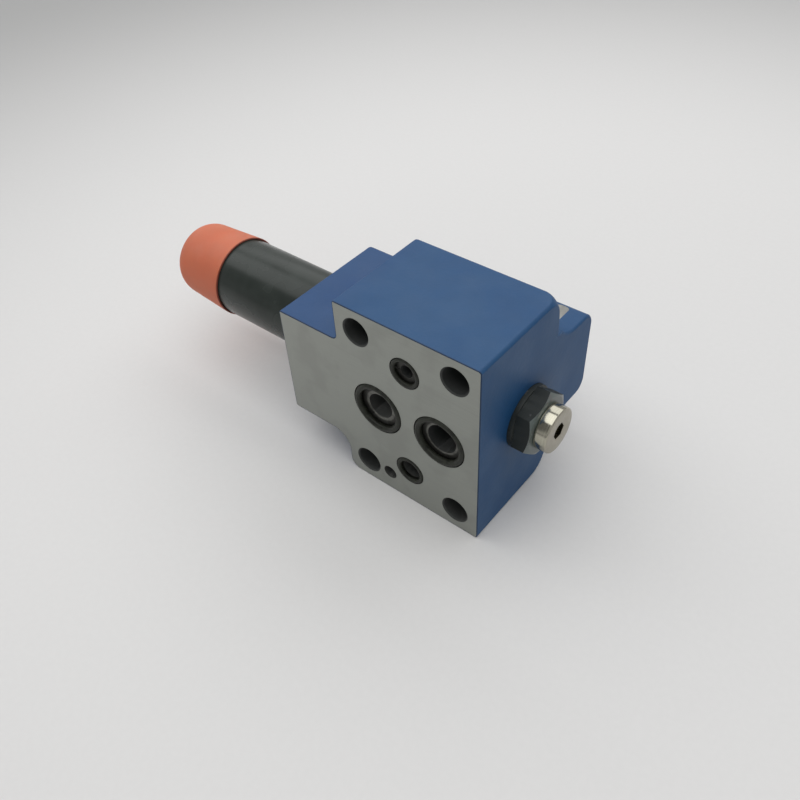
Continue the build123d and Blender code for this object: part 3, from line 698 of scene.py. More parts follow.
def place(mesh: bpy.types.Mesh, name: str, material: bpy.types.Material | None = None) -> bpy.types.Object:
    """Puts a mesh into the scene as an object at the origin."""
    piece = bpy.data.objects.new(name, mesh)
    bpy.context.scene.collection.objects.link(piece)
    if material is not None:
        mesh.materials.clear()
        mesh.materials.append(material)
    return piece


def settle(piece: bpy.types.Object) -> bpy.types.Object:
    """Turns what a piece's modifiers make into its own plain mesh and removes them."""
    bpy.context.view_layer.update()
    evaluated = piece.evaluated_get(bpy.context.evaluated_depsgraph_get())
    mesh = bpy.data.meshes.new_from_object(evaluated)
    piece.modifiers.clear()
    piece.data = mesh
    return piece


# Geometry trees


class Pattern:
    """A geometry tree with named inputs, run once on an empty piece to give a plain mesh."""

    def __init__(self, name: str, inputs: dict[str, float]) -> None:
        """Starts the tree.

        Args:
            name: The tree's name.
            inputs: Each named input and its default.
        """
        self.tree = bpy.data.node_groups.new(name, "GeometryNodeTree")
        self.graph = Graph(self.tree)
        face = self.tree.interface
        face.new_socket("Geometry", in_out="OUTPUT", socket_type="NodeSocketGeometry")
        for label, default in inputs.items():
            kind = "NodeSocketInt" if isinstance(default, int) else "NodeSocketFloat"
            socket = face.new_socket(label, in_out="INPUT", socket_type=kind)
            socket.default_value = default
        face.new_socket("Material", in_out="INPUT", socket_type="NodeSocketMaterial")
        self.source = self.graph.add("NodeGroupInput")

    def close(self, geometry: Socket) -> None:
        """Ends the tree in plain geometry with its material."""
        plain = self.graph.add("GeometryNodeRealizeInstances", {"Geometry": geometry})
        smooth = self.graph.add("GeometryNodeSetShadeSmooth", {"Geometry": plain.outputs[0]})
        inputs = {"Geometry": smooth.outputs[0], "Material": self.source.outputs["Material"]}
        dressed = self.graph.add("GeometryNodeSetMaterial", inputs)
        self.graph.add("NodeGroupOutput", {"Geometry": dressed.outputs[0]})

    def run(self, name: str, material: bpy.types.Material, values: dict[str, float]) -> bpy.types.Object:
        """Makes one piece from the tree.

        Args:
            name: The piece's name.
            material: Its material.
            values: The tree's inputs by name.

        Returns:
            The piece, with its modifier gone.
        """
        piece = place(bpy.data.meshes.new(name), name)
        modifier = piece.modifiers.new("pattern", "NODES")
        modifier.node_group = self.tree
        for socket in self.tree.interface.items_tree:
            if socket.in_out == "INPUT" and socket.name in values:
                modifier[socket.identifier] = values[socket.name]
            if socket.in_out == "INPUT" and socket.name == "Material":
                modifier[socket.identifier] = material
        return settle(piece)


def build_seal_pattern() -> Pattern:
    """Builds the tree for seal rings: a round cord carried round a circle."""
    inputs = {"Ring Radius": 0.01, "Cord Radius": 0.001, "Across": 0.0, "X": 0.0, "Y": 0.0, "Z": 0.0}
    pattern = Pattern("seal_ring", inputs)
    graph, source = pattern.graph, pattern.source.outputs
    path = graph.add("GeometryNodeCurvePrimitiveCircle", {"Resolution": 160, "Radius": source["Ring Radius"]})
    cord = graph.add("GeometryNodeCurvePrimitiveCircle", {"Resolution": 28, "Radius": source["Cord Radius"]})
    inputs = {"Curve": path.outputs[0], "Profile Curve": cord.outputs[0]}
    ring = graph.add("GeometryNodeCurveToMesh", inputs)
    along = graph.math("MULTIPLY", graph.math("SUBTRACT", 1.0, source["Across"]), math.pi / 2)
    across = graph.math("MULTIPLY", source["Across"], math.pi / 2)
    turn = graph.add("ShaderNodeCombineXYZ", {"X": across, "Y": along})
    middle = graph.add("ShaderNodeCombineXYZ", {"X": source["X"], "Y": source["Y"], "Z": source["Z"]})
    inputs = {"Geometry": ring.outputs[0], "Translation": middle.outputs[0], "Rotation": turn.outputs[0]}
    pattern.close(graph.add("GeometryNodeTransform", inputs).outputs[0])
    return pattern


def build_coil_pattern() -> Pattern:
    """Builds the tree for springs: wire wound with closed, ground ends, or a stretch of it."""
    inputs = {
        "Left": 0.0,
        "Right": 0.05,
        "Mean Radius": 0.009,
        "Wire Radius": 0.0016,
        "Turns": 9.0,
        "Closed Turns": 1.0,
        "Axis Y": 0.03,
        "From": 0.0,
        "To": 1.0,
    }
    pattern = Pattern("wound_spring", inputs)
    graph, source = pattern.graph, pattern.source.outputs
    count = graph.math("MULTIPLY", source["Turns"], 56.0)
    path = graph.add("GeometryNodeCurvePrimitiveLine", {"Start": (0, 0, 0), "End": (1, 0, 0)})
    wire = graph.add("GeometryNodeResampleCurve", {"Curve": path.outputs[0], "Count": count})
    share = graph.add("ShaderNodeSeparateXYZ", {0: graph.add("GeometryNodeInputPosition").outputs[0]})
    share = share.outputs["X"]
    span = graph.math("SUBTRACT", source["To"], source["From"])
    share = graph.math("ADD", source["From"], graph.math("MULTIPLY", share, span))
    turned = graph.math("MULTIPLY", share, source["Turns"])
    wire_width = graph.math("MULTIPLY", source["Wire Radius"], 2.04)
    closed = source["Closed Turns"]
    open_turns = graph.math("SUBTRACT", source["Turns"], graph.math("MULTIPLY", closed, 2.0))
    length = graph.math("SUBTRACT", source["Right"], source["Left"])
    grind = graph.math("MULTIPLY", source["Wire Radius"], 0.9)
    shut = graph.math("MULTIPLY", graph.math("MULTIPLY", closed, wire_width), 2.0)
    rest = graph.math("SUBTRACT", graph.math("SUBTRACT", length, graph.math("MULTIPLY", grind, 2.0)), shut)
    pitch = graph.math("DIVIDE", rest, open_turns)
    first = graph.math("MULTIPLY", graph.math("MINIMUM", turned, closed), wire_width)
    free = graph.math("MAXIMUM", graph.math("SUBTRACT", turned, closed), 0.0)
    middle = graph.math("MULTIPLY", graph.math("MINIMUM", free, open_turns), pitch)
    last = graph.math("MAXIMUM", graph.math("SUBTRACT", free, open_turns), 0.0)
    along = graph.math("ADD", graph.math("ADD", first, middle), graph.math("MULTIPLY", last, wire_width))
    along = graph.math("ADD", graph.math("ADD", along, grind), source["Left"])
    angle = graph.math("MULTIPLY", turned, 2 * math.pi)
    y = graph.math("MULTIPLY", graph.math("COSINE", angle), source["Mean Radius"])
    y = graph.math("ADD", y, source["Axis Y"])
    z = graph.math("MULTIPLY", graph.math("SINE", angle), source["Mean Radius"])
    spot = graph.add("ShaderNodeCombineXYZ", {"X": along, "Y": y, "Z": z})
    wound = graph.add("GeometryNodeSetPosition", {"Geometry": wire.outputs[0], "Position": spot.outputs[0]})
    section = graph.add("GeometryNodeCurvePrimitiveCircle", {"Resolution": 18, "Radius": source["Wire Radius"]})
    inputs = {"Curve": wound.outputs[0], "Profile Curve": section.outputs[0], "Fill Caps": True}
    solid = graph.add("GeometryNodeCurveToMesh", inputs)
    now = graph.add("ShaderNodeSeparateXYZ", {0: graph.add("GeometryNodeInputPosition").outputs[0]})
    held = graph.math("MAXIMUM", now.outputs["X"], source["Left"])
    held = graph.math("MINIMUM", held, source["Right"])
    flat = graph.add("ShaderNodeCombineXYZ", {"X": held, "Y": now.outputs["Y"], "Z": now.outputs["Z"]})
    ground = graph.add("GeometryNodeSetPosition", {"Geometry": solid.outputs[0], "Position": flat.outputs[0]})
    pattern.close(ground.outputs[0])
    return pattern


def build_thread_pattern() -> Pattern:
    """Builds the tree for screw threads: a fine sleeve of quads pushed into a helical groove."""
    inputs = {"Left": 0.0, "Right": 0.02, "Radius": 0.008, "Pitch": 0.0015, "Depth": 0.0008, "Axis Y": 0.03}
    pattern = Pattern("screw_thread", inputs)
    graph, source = pattern.graph, pattern.source.outputs
    length = graph.math("SUBTRACT", source["Right"], source["Left"])
    rows = graph.math("ADD", graph.math("MULTIPLY", graph.math("DIVIDE", length, source["Pitch"]), 12.0), 2.0)
    inputs = {"Size X": 1.0, "Size Y": 1.0, "Vertices X": rows, "Vertices Y": 97}
    grid = graph.add("GeometryNodeMeshGrid", inputs)
    now = graph.add("ShaderNodeSeparateXYZ", {0: graph.add("GeometryNodeInputPosition").outputs[0]})
    share = graph.math("ADD", now.outputs["X"], 0.5)
    along = graph.math("MULTIPLY", share, length)
    round_share = graph.math("ADD", now.outputs["Y"], 0.5)
    angle = graph.math("MULTIPLY", round_share, 2 * math.pi)
    wave = graph.math("SUBTRACT", graph.math("DIVIDE", along, source["Pitch"]), round_share)
    tooth = graph.math("PINGPONG", wave, 0.5)
    groove = graph.ramp(graph.math("MULTIPLY", tooth, 2.0), 0.08, 0.92)
    runout = graph.math("MINIMUM", along, graph.math("SUBTRACT", length, along))
    ends = graph.ramp(graph.math("DIVIDE", runout, source["Pitch"]), 0.0, 0.8)
    cut = graph.math("MULTIPLY", graph.math("MULTIPLY", groove, ends), source["Depth"])
    chamfer = graph.math("SUBTRACT", 1.0, ends)
    cut = graph.math("MAXIMUM", cut, graph.math("MULTIPLY", chamfer, source["Depth"]))
    radius = graph.math("SUBTRACT", source["Radius"], cut)
    y = graph.math("MULTIPLY", graph.math("COSINE", angle), radius)
    z = graph.math("MULTIPLY", graph.math("SINE", angle), radius)
    x = graph.math("ADD", along, source["Left"])
    spot = graph.add("ShaderNodeCombineXYZ", {"X": x, "Y": graph.math("ADD", y, source["Axis Y"]), "Z": z})
    wrapped = graph.add("GeometryNodeSetPosition", {"Geometry": grid.outputs[0], "Position": spot.outputs[0]})
    inputs = {"Geometry": wrapped.outputs[0], "Distance": 1e-7}
    pattern.close(graph.add("GeometryNodeMergeByDistance", inputs).outputs[0])
    return pattern


# Sub-assemblies


@dataclass
class Workshop:
    """The finishes and patterns that the sub-assemblies share."""

    paint: bpy.types.Material
    shaded_edge_paint: bpy.types.Material
    ground_face: bpy.types.Material
    recess: bpy.types.Material
    bore: bpy.types.Material
    milled: bpy.types.Material
    black_sleeve: bpy.types.Material
    black_plug: bpy.types.Material
    soft_cap: bpy.types.Material
    plug_face_sheen: bpy.types.Material
    nickel: bpy.types.Material
    nickel_face: bpy.types.Material
    rubber: bpy.types.Material
    steels: dict[Steel, bpy.types.Material]
    seal_pattern: Pattern
    coil_pattern: Pattern
    thread_pattern: Pattern


def fit(piece: bpy.types.Object, body: str, slot: str, *nodes: str) -> bpy.types.Object:
    """Hands a finished piece over to the frame.

    Args:
        piece: The piece.
        body: The CAD body it rides on.
        slot: The record's material slot; not used.
        nodes: The CAD nodes that it stands for.

    Returns:
        The same piece.
    """
    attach(piece, body)
    if nodes:
        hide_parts(*nodes)
    log.info("%s rides on %s, %d faces", piece.name, body, len(piece.data.polygons))
    return piece


@dataclass
class CastBody:
    """The painted casting with its ground mounting face, ports, bolt holes and seats."""

    bolts: tuple[float, float] = (0.02145, 0.03335)
    bolt_hole: float = 0.0061
    seat: float = 0.0138
    seat_level: float = 0.0475
    bare_x: float = 0.0262
    bare_z: float = 0.0212
    ports: tuple[tuple[float, float, float, float], ...] = (
        (-0.01425, 0.0, 0.0113, 0.0021),
        (0.01435, 0.0, 0.0113, 0.0021),
        (0.0, 0.0254, 0.0066, 0.0015),
        (0.0, -0.0254, 0.0066, 0.0015),
        (-0.01035, -0.03335, 0.0032, 0.0),
    )
    valve_axis: tuple[float, float] = (0.030, 0.01685)
    check_axis: tuple[float, float] = (0.0635, 0.0094)
    corner: tuple[float, float, float] = (0.03185, 0.0485, 0.0429)
    corner_fillet: float = 0.0019
    corner_steps: int = 12
    top_corner: float = 0.0070
    low_corner: float = 0.0095
    outline_edge: float = 0.00034
    rim_edge: float = 0.00012

    def zone(self, face: bmesh.types.BMFace) -> Zone:
        """Says what kind of surface a face of the casting is."""
        middle = face.calc_center_median()
        if face.normal.y < -0.99 and middle.y < 1e-5:
            return Zone.GROUND
        for x in (-self.bolts[0], self.bolts[0]):
            for z in (-self.bolts[1], self.bolts[1]):
                reach = self.reach(face, 0, x, z)
                if reach < self.bolt_hole:
                    return Zone.BORE
                if reach < self.seat and middle.y > self.seat_level:
                    bare = face.normal.y > 0.9 or (abs(middle.z) < self.bare_z and abs(middle.x) < self.bare_x)
                    return Zone.SEAT if bare else Zone.PAINT
        for x, z, radius, depth in self.ports:
            reach = self.reach(face, 0, x, z)
            if reach < radius and middle.y < depth:
                return Zone.RECESS
            if reach < radius and middle.y < self.valve_axis[0]:
                return Zone.BORE
        for y, radius in (self.valve_axis, self.check_axis):
            if self.reach(face, 1, y, 0.0) < radius:
                return Zone.BORE
        return Zone.PAINT

    def reach(self, face: bmesh.types.BMFace, kind: int, first: float, second: float) -> float:
        """Gives how far a face reaches from an axis across the body (0) or along it (1)."""
        if kind == 0:
            return max(math.hypot(v.co.x - first, v.co.z - second) for v in face.verts)
        return max(math.hypot(v.co.y - first, v.co.z - second) for v in face.verts)

    def dress_corners(self, shape: bmesh.types.BMesh) -> None:
        """Rounds the two right-hand corners at the back of the slab, more at the bottom.

        Args:
            shape: The casting.
        """
        for side, reach in ((1, self.top_corner), (-1, self.low_corner)):
            tip = Vector((self.corner[0], self.corner[1], self.corner[2] * side))
            middle = tip - Vector((reach, reach, reach * side))
            for normal in (Vector((1, 0, 0)), Vector((0, 1, 0)), Vector((0, 0, side))):
                for step in range(self.corner_steps):
                    at = middle + normal * (reach * step / self.corner_steps)
                    near = [face for face in shape.faces if self.beside(face, middle, tip, side)]
                    geometry = list({part for face in near for part in (*face.verts, *face.edges)}) + near
                    bmesh.ops.bisect_plane(shape, geom=geometry, plane_co=at, plane_no=normal, dist=1e-7)
            radius = (reach - self.corner_fillet) * math.sqrt(2) + self.corner_fillet
            for corner in shape.verts:
                away = corner.co - middle
                if min(away.x, away.y, away.z * side) > -1e-6 and corner.co.y < tip.y + 1e-5 and away.length > radius:
                    corner.co = middle + away * (radius / away.length)

    def beside(self, face: bmesh.types.BMFace, middle: Vector, tip: Vector, side: int) -> bool:
        """Says whether a face reaches into the cube between the middle and the tip of a corner."""
        for axis, sign in ((0, 1), (1, 1), (2, side)):
            places = [corner.co[axis] * sign for corner in face.verts]
            if max(places) < middle[axis] * sign + 1e-6 or min(places) > tip[axis] * sign + 1e-5:
                return False
        return face.calc_center_median().y < tip.y + 1e-5

    def soften(self, shape: bmesh.types.BMesh, first: Zone, others: Sequence[Zone], width: float, zone: Zone) -> None:
        """Breaks the sharp edges between one kind of surface and others.

        Args:
            shape: The casting.
            first: The zone on one side.
            others: The zones on the other side.
            width: How far the edge is broken.
            zone: The zone of the new narrow faces.
        """
        wanted = {other.value for other in others}
        edges = []
        for edge in shape.edges:
            if len(edge.link_faces) != 2:
                continue
            kinds = {face.material_index for face in edge.link_faces}
            if first.value in kinds and kinds & wanted:
                edges.append(edge)
        corners = list({corner for edge in edges for corner in edge.verts})
        made = bmesh.ops.bevel(
            shape,
            geom=edges + corners,
            offset=width,
            offset_type="OFFSET",
            segments=2,
            profile=0.6,
            affect="EDGES",
            clamp_overlap=False,
            material=-1,
        )
        for face in made["faces"]:
            face.material_index = zone.value

    def build(self, shop: Workshop) -> bpy.types.Object:
        """Builds the casting from its CAD shape."""
        shape = bmesh.new()
        shape.from_mesh(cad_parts["valve_body"].data)
        bmesh.ops.remove_doubles(shape, verts=shape.verts, dist=2e-7)
        bmesh.ops.dissolve_limit(
            shape, angle_limit=math.radians(0.4), verts=shape.verts, edges=shape.edges
        )
        self.dress_corners(shape)
        shape.normal_update()
        for face in shape.faces:
            face.material_index = self.zone(face).value
        # The bevel round the ground face takes the darker edge paint: painted shade along the outline.
        self.soften(shape, Zone.GROUND, [Zone.PAINT], self.outline_edge, Zone.EDGE)
        self.soften(shape, Zone.GROUND, [Zone.RECESS], self.rim_edge, Zone.RECESS)
        mesh = bpy.data.meshes.new("cast_body")
        shape.to_mesh(mesh)
        shape.free()
        for material in (shop.paint, shop.ground_face, shop.recess, shop.bore, shop.milled, shop.shaded_edge_paint):
            mesh.materials.append(material)
        shade(mesh, 35.0)
        piece = place(mesh, "cast_body")
        weighted = piece.modifiers.new("weighted", "WEIGHTED_NORMAL")
        weighted.keep_sharp = True
        weighted.weight = 60
        return fit(settle(piece), "valve", "body_casting", "valve_body")


@dataclass
class Seals:
    """All the seal rings of round cord, each made to the size of its CAD ring."""

    across: tuple[str, ...] = ("port_a_seal", "port_b_seal", "port_x_seal", "port_y_seal")
    along: tuple[tuple[str, str], ...] = (
        ("sleeve_seal", "valve"),
        ("end_plug_seal", "valve"),
        ("check_plug_seal", "valve"),
        ("plate_seal", "plate"),
    )

    def ring(self, shop: Workshop, node: str, axis: Axis, body: str, slot: str) -> bpy.types.Object:
        """Makes one ring in place of its CAD node."""
        low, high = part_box(node)
        size = high - low
        middle = (low + high) / 2
        cord = (size.y if axis is Axis.ACROSS else size.x) / 2
        values = {
            "Ring Radius": size.z / 2 - cord,
            "Cord Radius": cord,
            "Across": 1.0 if axis is Axis.ACROSS else 0.0,
            "X": middle.x,
            "Y": middle.y,
            "Z": middle.z,
        }
        piece = shop.seal_pattern.run(f"{node}_ring", shop.rubber, values)
        return fit(piece, body, slot, node)

    def build(self, shop: Workshop) -> None:
        """Makes every ring."""
        for node in self.across:
            self.ring(shop, node, Axis.ACROSS, "valve", "port_rubber")
        for node, body in self.along:
            self.ring(shop, node, Axis.ALONG, body, "seal_rubber")


@dataclass
class SpringSide:
    """The black sleeve with its adjuster, lock nut and soft cap."""

    axis_y: float = 0.030
    face_x: float = -0.0611
    shoulder_x: float = -0.1196
    end_x: float = -0.133
    stub_x: float = -0.044
    sleeve_radius: float = 0.0175
    neck_radius: float = 0.0156
    stub_radius: float = 0.015
    bore_radius: float = 0.012
    bore_end_x: float = -0.121
    screw_radius: float = 0.0079
    nut_x: float = -0.141
    nut_flats: float = 0.024
    hex_x: float = -0.1485
    hex_flats: float = 0.010
    cap_rim_x: float = -0.1165
    cap_shoulder_x: float = -0.1385
    cap_tip_x: float = -0.1506
    cap_rim_radius: float = 0.0183
    cap_shoulder_radius: float = 0.01695
    cap_wall: float = 0.0009

    def sleeve(self, shop: Workshop) -> bpy.types.Object:
        """Makes the sleeve."""
        outline = [
            (self.stub_x, self.bore_radius),
            (self.stub_x, self.stub_radius - 0.001),
            (self.stub_x - 0.001, self.stub_radius),
            (self.face_x, self.stub_radius),
            (self.face_x, self.sleeve_radius - 0.0003),
            (self.face_x - 0.0003, self.sleeve_radius),
            (self.shoulder_x + 0.0006, self.sleeve_radius),
            (self.shoulder_x, self.sleeve_radius - 0.0006),
            (self.shoulder_x, self.neck_radius),
            (self.end_x + 0.001, self.neck_radius),
            (self.end_x, self.neck_radius - 0.001),
            (self.end_x, self.screw_radius + 0.0001),
            (self.bore_end_x, self.screw_radius + 0.0001),
            (self.bore_end_x, self.bore_radius),
        ]
        rings = [Ring(*point) for point in round_off(outline, 0.00015)]
        mesh = Lathe(self.axis_y, 160).mesh("sleeve_tube", rings)
        shade(mesh)
        piece = place(mesh, "sleeve_tube", shop.black_sleeve)
        return fit(piece, "valve", "black_sleeve", "spring_sleeve")

    def dome(self, tip_x: float, radius: float) -> list[tuple[float, float]]:
        """Gives the full round end of the cap, from its shoulder to its tip."""
        points = []
        for step in range(1, 25):
            angle = math.pi / 2 * step / 24
            along = math.sin(angle) ** 0.8
            across = max(0.0, math.cos(angle)) ** 0.8
            points.append((self.cap_shoulder_x + (tip_x - self.cap_shoulder_x) * along, radius * across))
        points[-1] = (tip_x, 0.0)
        return points

    def cap(self, shop: Workshop) -> bpy.types.Object:
        """Makes the soft cap, a thin shell with a rounded rim and a full round end."""
        fit_radius = self.sleeve_radius + 0.00006
        outer = [
            (self.cap_rim_x, self.cap_rim_radius - 0.0003),
            (self.cap_rim_x - 0.0001, self.cap_rim_radius - 0.0001),
            (self.cap_rim_x - 0.0004, self.cap_rim_radius - 0.00002),
        ]
        for step in range(1, 13):
            share = step / 12
            x = self.cap_rim_x - 0.0004 + (self.cap_shoulder_x - self.cap_rim_x) * share
            outer.append((x, self.cap_rim_radius + (self.cap_shoulder_radius - self.cap_rim_radius) * share))
        outer += self.dome(self.cap_tip_x, self.cap_shoulder_radius)
        inner_radius = self.cap_shoulder_radius - self.cap_wall
        inner = list(reversed(self.dome(self.cap_tip_x + self.cap_wall, inner_radius)))
        inner += [
            (self.cap_shoulder_x, inner_radius),
            (self.cap_rim_x - 0.0034, self.cap_rim_radius - self.cap_wall - 0.0003),
            (self.cap_rim_x - 0.0033, fit_radius),
            (self.cap_rim_x - 0.0002, fit_radius),
            (self.cap_rim_x, fit_radius + 0.00015),
        ]
        rings = [Ring(*point) for point in outer + inner]
        mesh = Lathe(self.axis_y, 144).mesh("cap_shell", rings)
        shade(mesh, 50.0)
        piece = place(mesh, "cap_shell", shop.soft_cap)
        return fit(piece, "cap", "soft_orange", "protective_cap")

    def nut(self, shop: Workshop) -> bpy.types.Object:
        """Makes the lock nut, crowned on both faces."""
        crown = 0.577
        inner = self.screw_radius + 0.0001
        face = self.nut_flats / 2 - 0.0006
        rings = [
            Ring(self.nut_x + 0.0006, inner),
            Ring(self.nut_x, inner + 0.0006),
            Ring(self.nut_x, face),
            Ring(self.nut_x, face, self.nut_flats, -crown),
            Ring(self.end_x, face, self.nut_flats, crown),
            Ring(self.end_x, face),
            Ring(self.end_x, inner + 0.0006),
            Ring(self.end_x - 0.0006, inner),
        ]
        mesh = Lathe(self.axis_y).mesh("lock_nut_hexagon", rings, math.radians(30))
        shade(mesh)
        piece = place(mesh, "lock_nut_hexagon", shop.steels[Steel.ZINC])
        return fit(piece, "valve", "zinc_steel", "lock_nut")

    def screw(self, shop: Workshop) -> bpy.types.Object:
        """Makes the adjusting screw: a threaded shank joined to a hexagon end and a plain tip."""
        low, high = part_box("adjusting_screw")
        values = {
            "Left": self.nut_x - 0.002,
            "Right": high.x - 0.002,
            "Radius": self.screw_radius,
            "Pitch": 0.0015,
            "Depth": 0.0009,
            "Axis Y": self.axis_y,
        }
        shank = shop.thread_pattern.run("adjusting_screw_thread", shop.steels[Steel.ZINC], values)
        core = self.screw_radius - 0.0009
        ends = Lathe(self.axis_y, 96)
        left = self.nut_x - 0.002
        rings = [
            Ring(low.x, 0.0),
            Ring(low.x, self.hex_flats / 2 - 0.0004),
            Ring(low.x, self.hex_flats / 2 - 0.0004, self.hex_flats, -0.577),
            Ring(left, 0.0, self.hex_flats),
            Ring(left, core),
            Ring(left + 0.0004, core - 0.0003),
            Ring(left + 0.0004, 0.0),
        ]
        hexagon = ends.mesh("adjusting_screw_hexagon", rings, 0.0)
        right = high.x - 0.002
        tip = [
            Ring(right - 0.0004, 0.0),
            Ring(right - 0.0004, core - 0.0003),
            Ring(right, core),
            Ring(right + 0.0002, 0.005),
            Ring(high.x - 0.0004, 0.005),
            Ring(high.x, 0.0046),
            Ring(high.x, 0.0),
        ]
        point = ends.mesh("adjusting_screw_tip", tip)
        shape = bmesh.new()
        for mesh in (shank.data, hexagon, point):
            shape.from_mesh(mesh)
        whole = bpy.data.meshes.new("adjusting_screw_whole")
        shape.to_mesh(whole)
        shape.free()
        shade(whole, 40.0)
        bpy.data.objects.remove(shank)
        piece = place(whole, "adjusting_screw_whole", shop.steels[Steel.ZINC])
        return fit(piece, "screw", "zinc_steel", "adjusting_screw")

    def build(self, shop: Workshop) -> None:
        """Makes all the pieces of this side."""
        self.sleeve(shop)
        self.cap(shop)
        self.nut(shop)
        self.screw(shop)


@dataclass
class PlugSide:
    """The black hexagon end plug and the bright gauge plug in it."""

    axis_y: float = 0.030
    body_x: float = 0.03185
    collar_radius: float = 0.0128
    collar_thickness: float = 0.002
    flats: float = 0.024
    face_x: float = 0.04035
    crown_radius: float = 0.0118
    hex_turn: float = 18.0
    thread_radius: float = 0.011
    nose_x: float = 0.022
    port_radius: float = 0.0066
    port_depth: float = 0.011
    pilot_radius: float = 0.0025
    head_radius: float = 0.0092
    head_x: float = 0.04585
    gauge_thread: float = 0.0065
    gauge_length: float = 0.0085
    seal_radius: float = 0.00845
    seal_thickness: float = 0.00125
    socket_flats: float = 0.006
    socket_depth: float = 0.0046

    def end_plug(self, shop: Workshop) -> bpy.types.Object:
        """Makes the end plug in one piece: port, crowned hexagon, collar and shank."""
        top = self.body_x + self.collar_thickness
        port_floor = self.face_x - self.port_depth
        rings = [
            Ring(port_floor, self.pilot_radius),
            Ring(port_floor, self.port_radius),
            Ring(self.face_x - 0.0004, self.port_radius),
            Ring(self.face_x, self.port_radius + 0.0004),
            Ring(self.face_x, self.crown_radius - 0.0006),
            Ring(self.face_x - 0.00003, self.crown_radius - 0.0002),
            Ring(self.face_x, self.crown_radius, self.flats, 0.577),
            Ring(top + 0.0001, 0.0, self.flats),
            Ring(top, self.collar_radius - 0.0006),
            Ring(top - 0.00005, self.collar_radius - 0.0003),
            Ring(top - 0.0002, self.collar_radius - 0.0001),
            Ring(top - 0.0005, self.collar_radius),
            Ring(self.body_x, self.collar_radius),
            Ring(self.body_x, self.thread_radius),
            Ring(self.nose_x + 0.001, self.thread_radius),
            Ring(self.nose_x, self.thread_radius - 0.001),
            Ring(self.nose_x, self.pilot_radius),
        ]
        mesh = Lathe(self.axis_y).mesh("end_plug_hexagon", rings, math.radians(self.hex_turn))
        shade(mesh)
        piece = place(mesh, "end_plug_hexagon", shop.black_plug)
        # The end face and its crown chamfer take a lighter teal-grey: painted sheen of the bright surroundings.
        face_off(mesh, shop.plug_face_sheen, self.face_x - 0.0022)
        return fit(piece, "valve", "black_plug", "end_plug")

    def gauge_plug(self, shop: Workshop) -> bpy.types.Object:
        """Makes the gauge plug with its polished head and hexagon socket."""
        seal_x = self.face_x + self.seal_thickness
        shank_x = self.face_x - self.gauge_length
        floor_x = self.head_x - self.socket_depth
        rings = [
            Ring(floor_x - 0.0008, 0.0),
            Ring(floor_x, 0.0, self.socket_flats),
            Ring(self.head_x - 0.0003, 0.0, self.socket_flats),
            Ring(self.head_x, self.socket_flats * 0.5774 + 0.0004),
            Ring(self.head_x, self.head_radius - 0.0009),
            Ring(self.head_x - 0.0001, self.head_radius - 0.0006),
            Ring(self.head_x - 0.0003, self.head_radius - 0.00025),
            Ring(self.head_x - 0.0006, self.head_radius - 0.00005),
            Ring(self.head_x - 0.0009, self.head_radius),
            Ring(self.face_x + 0.0004, self.head_radius),
            Ring(self.face_x, self.head_radius - 0.0003),
            Ring(self.face_x, self.seal_radius),
            Ring(seal_x, self.seal_radius),
            Ring(seal_x, self.gauge_thread),
            Ring(shank_x + 0.001, self.gauge_thread),
            Ring(shank_x, self.gauge_thread - 0.001),
            Ring(shank_x, 0.0),
        ]
        mesh = Lathe(self.axis_y, corner_radius=0.0001).mesh("gauge_plug_head", rings, math.radians(0))
        shade(mesh)
        piece = place(mesh, "gauge_plug_head", shop.nickel)
        face_off(mesh, shop.nickel_face, self.head_x - 0.0003, 0.8)
        return fit(piece, "valve", "bright_plug", "gauge_plug")

    def build(self, shop: Workshop) -> None:
        """Makes all the pieces of this side."""
        self.end_plug(shop)
        self.gauge_plug(shop)


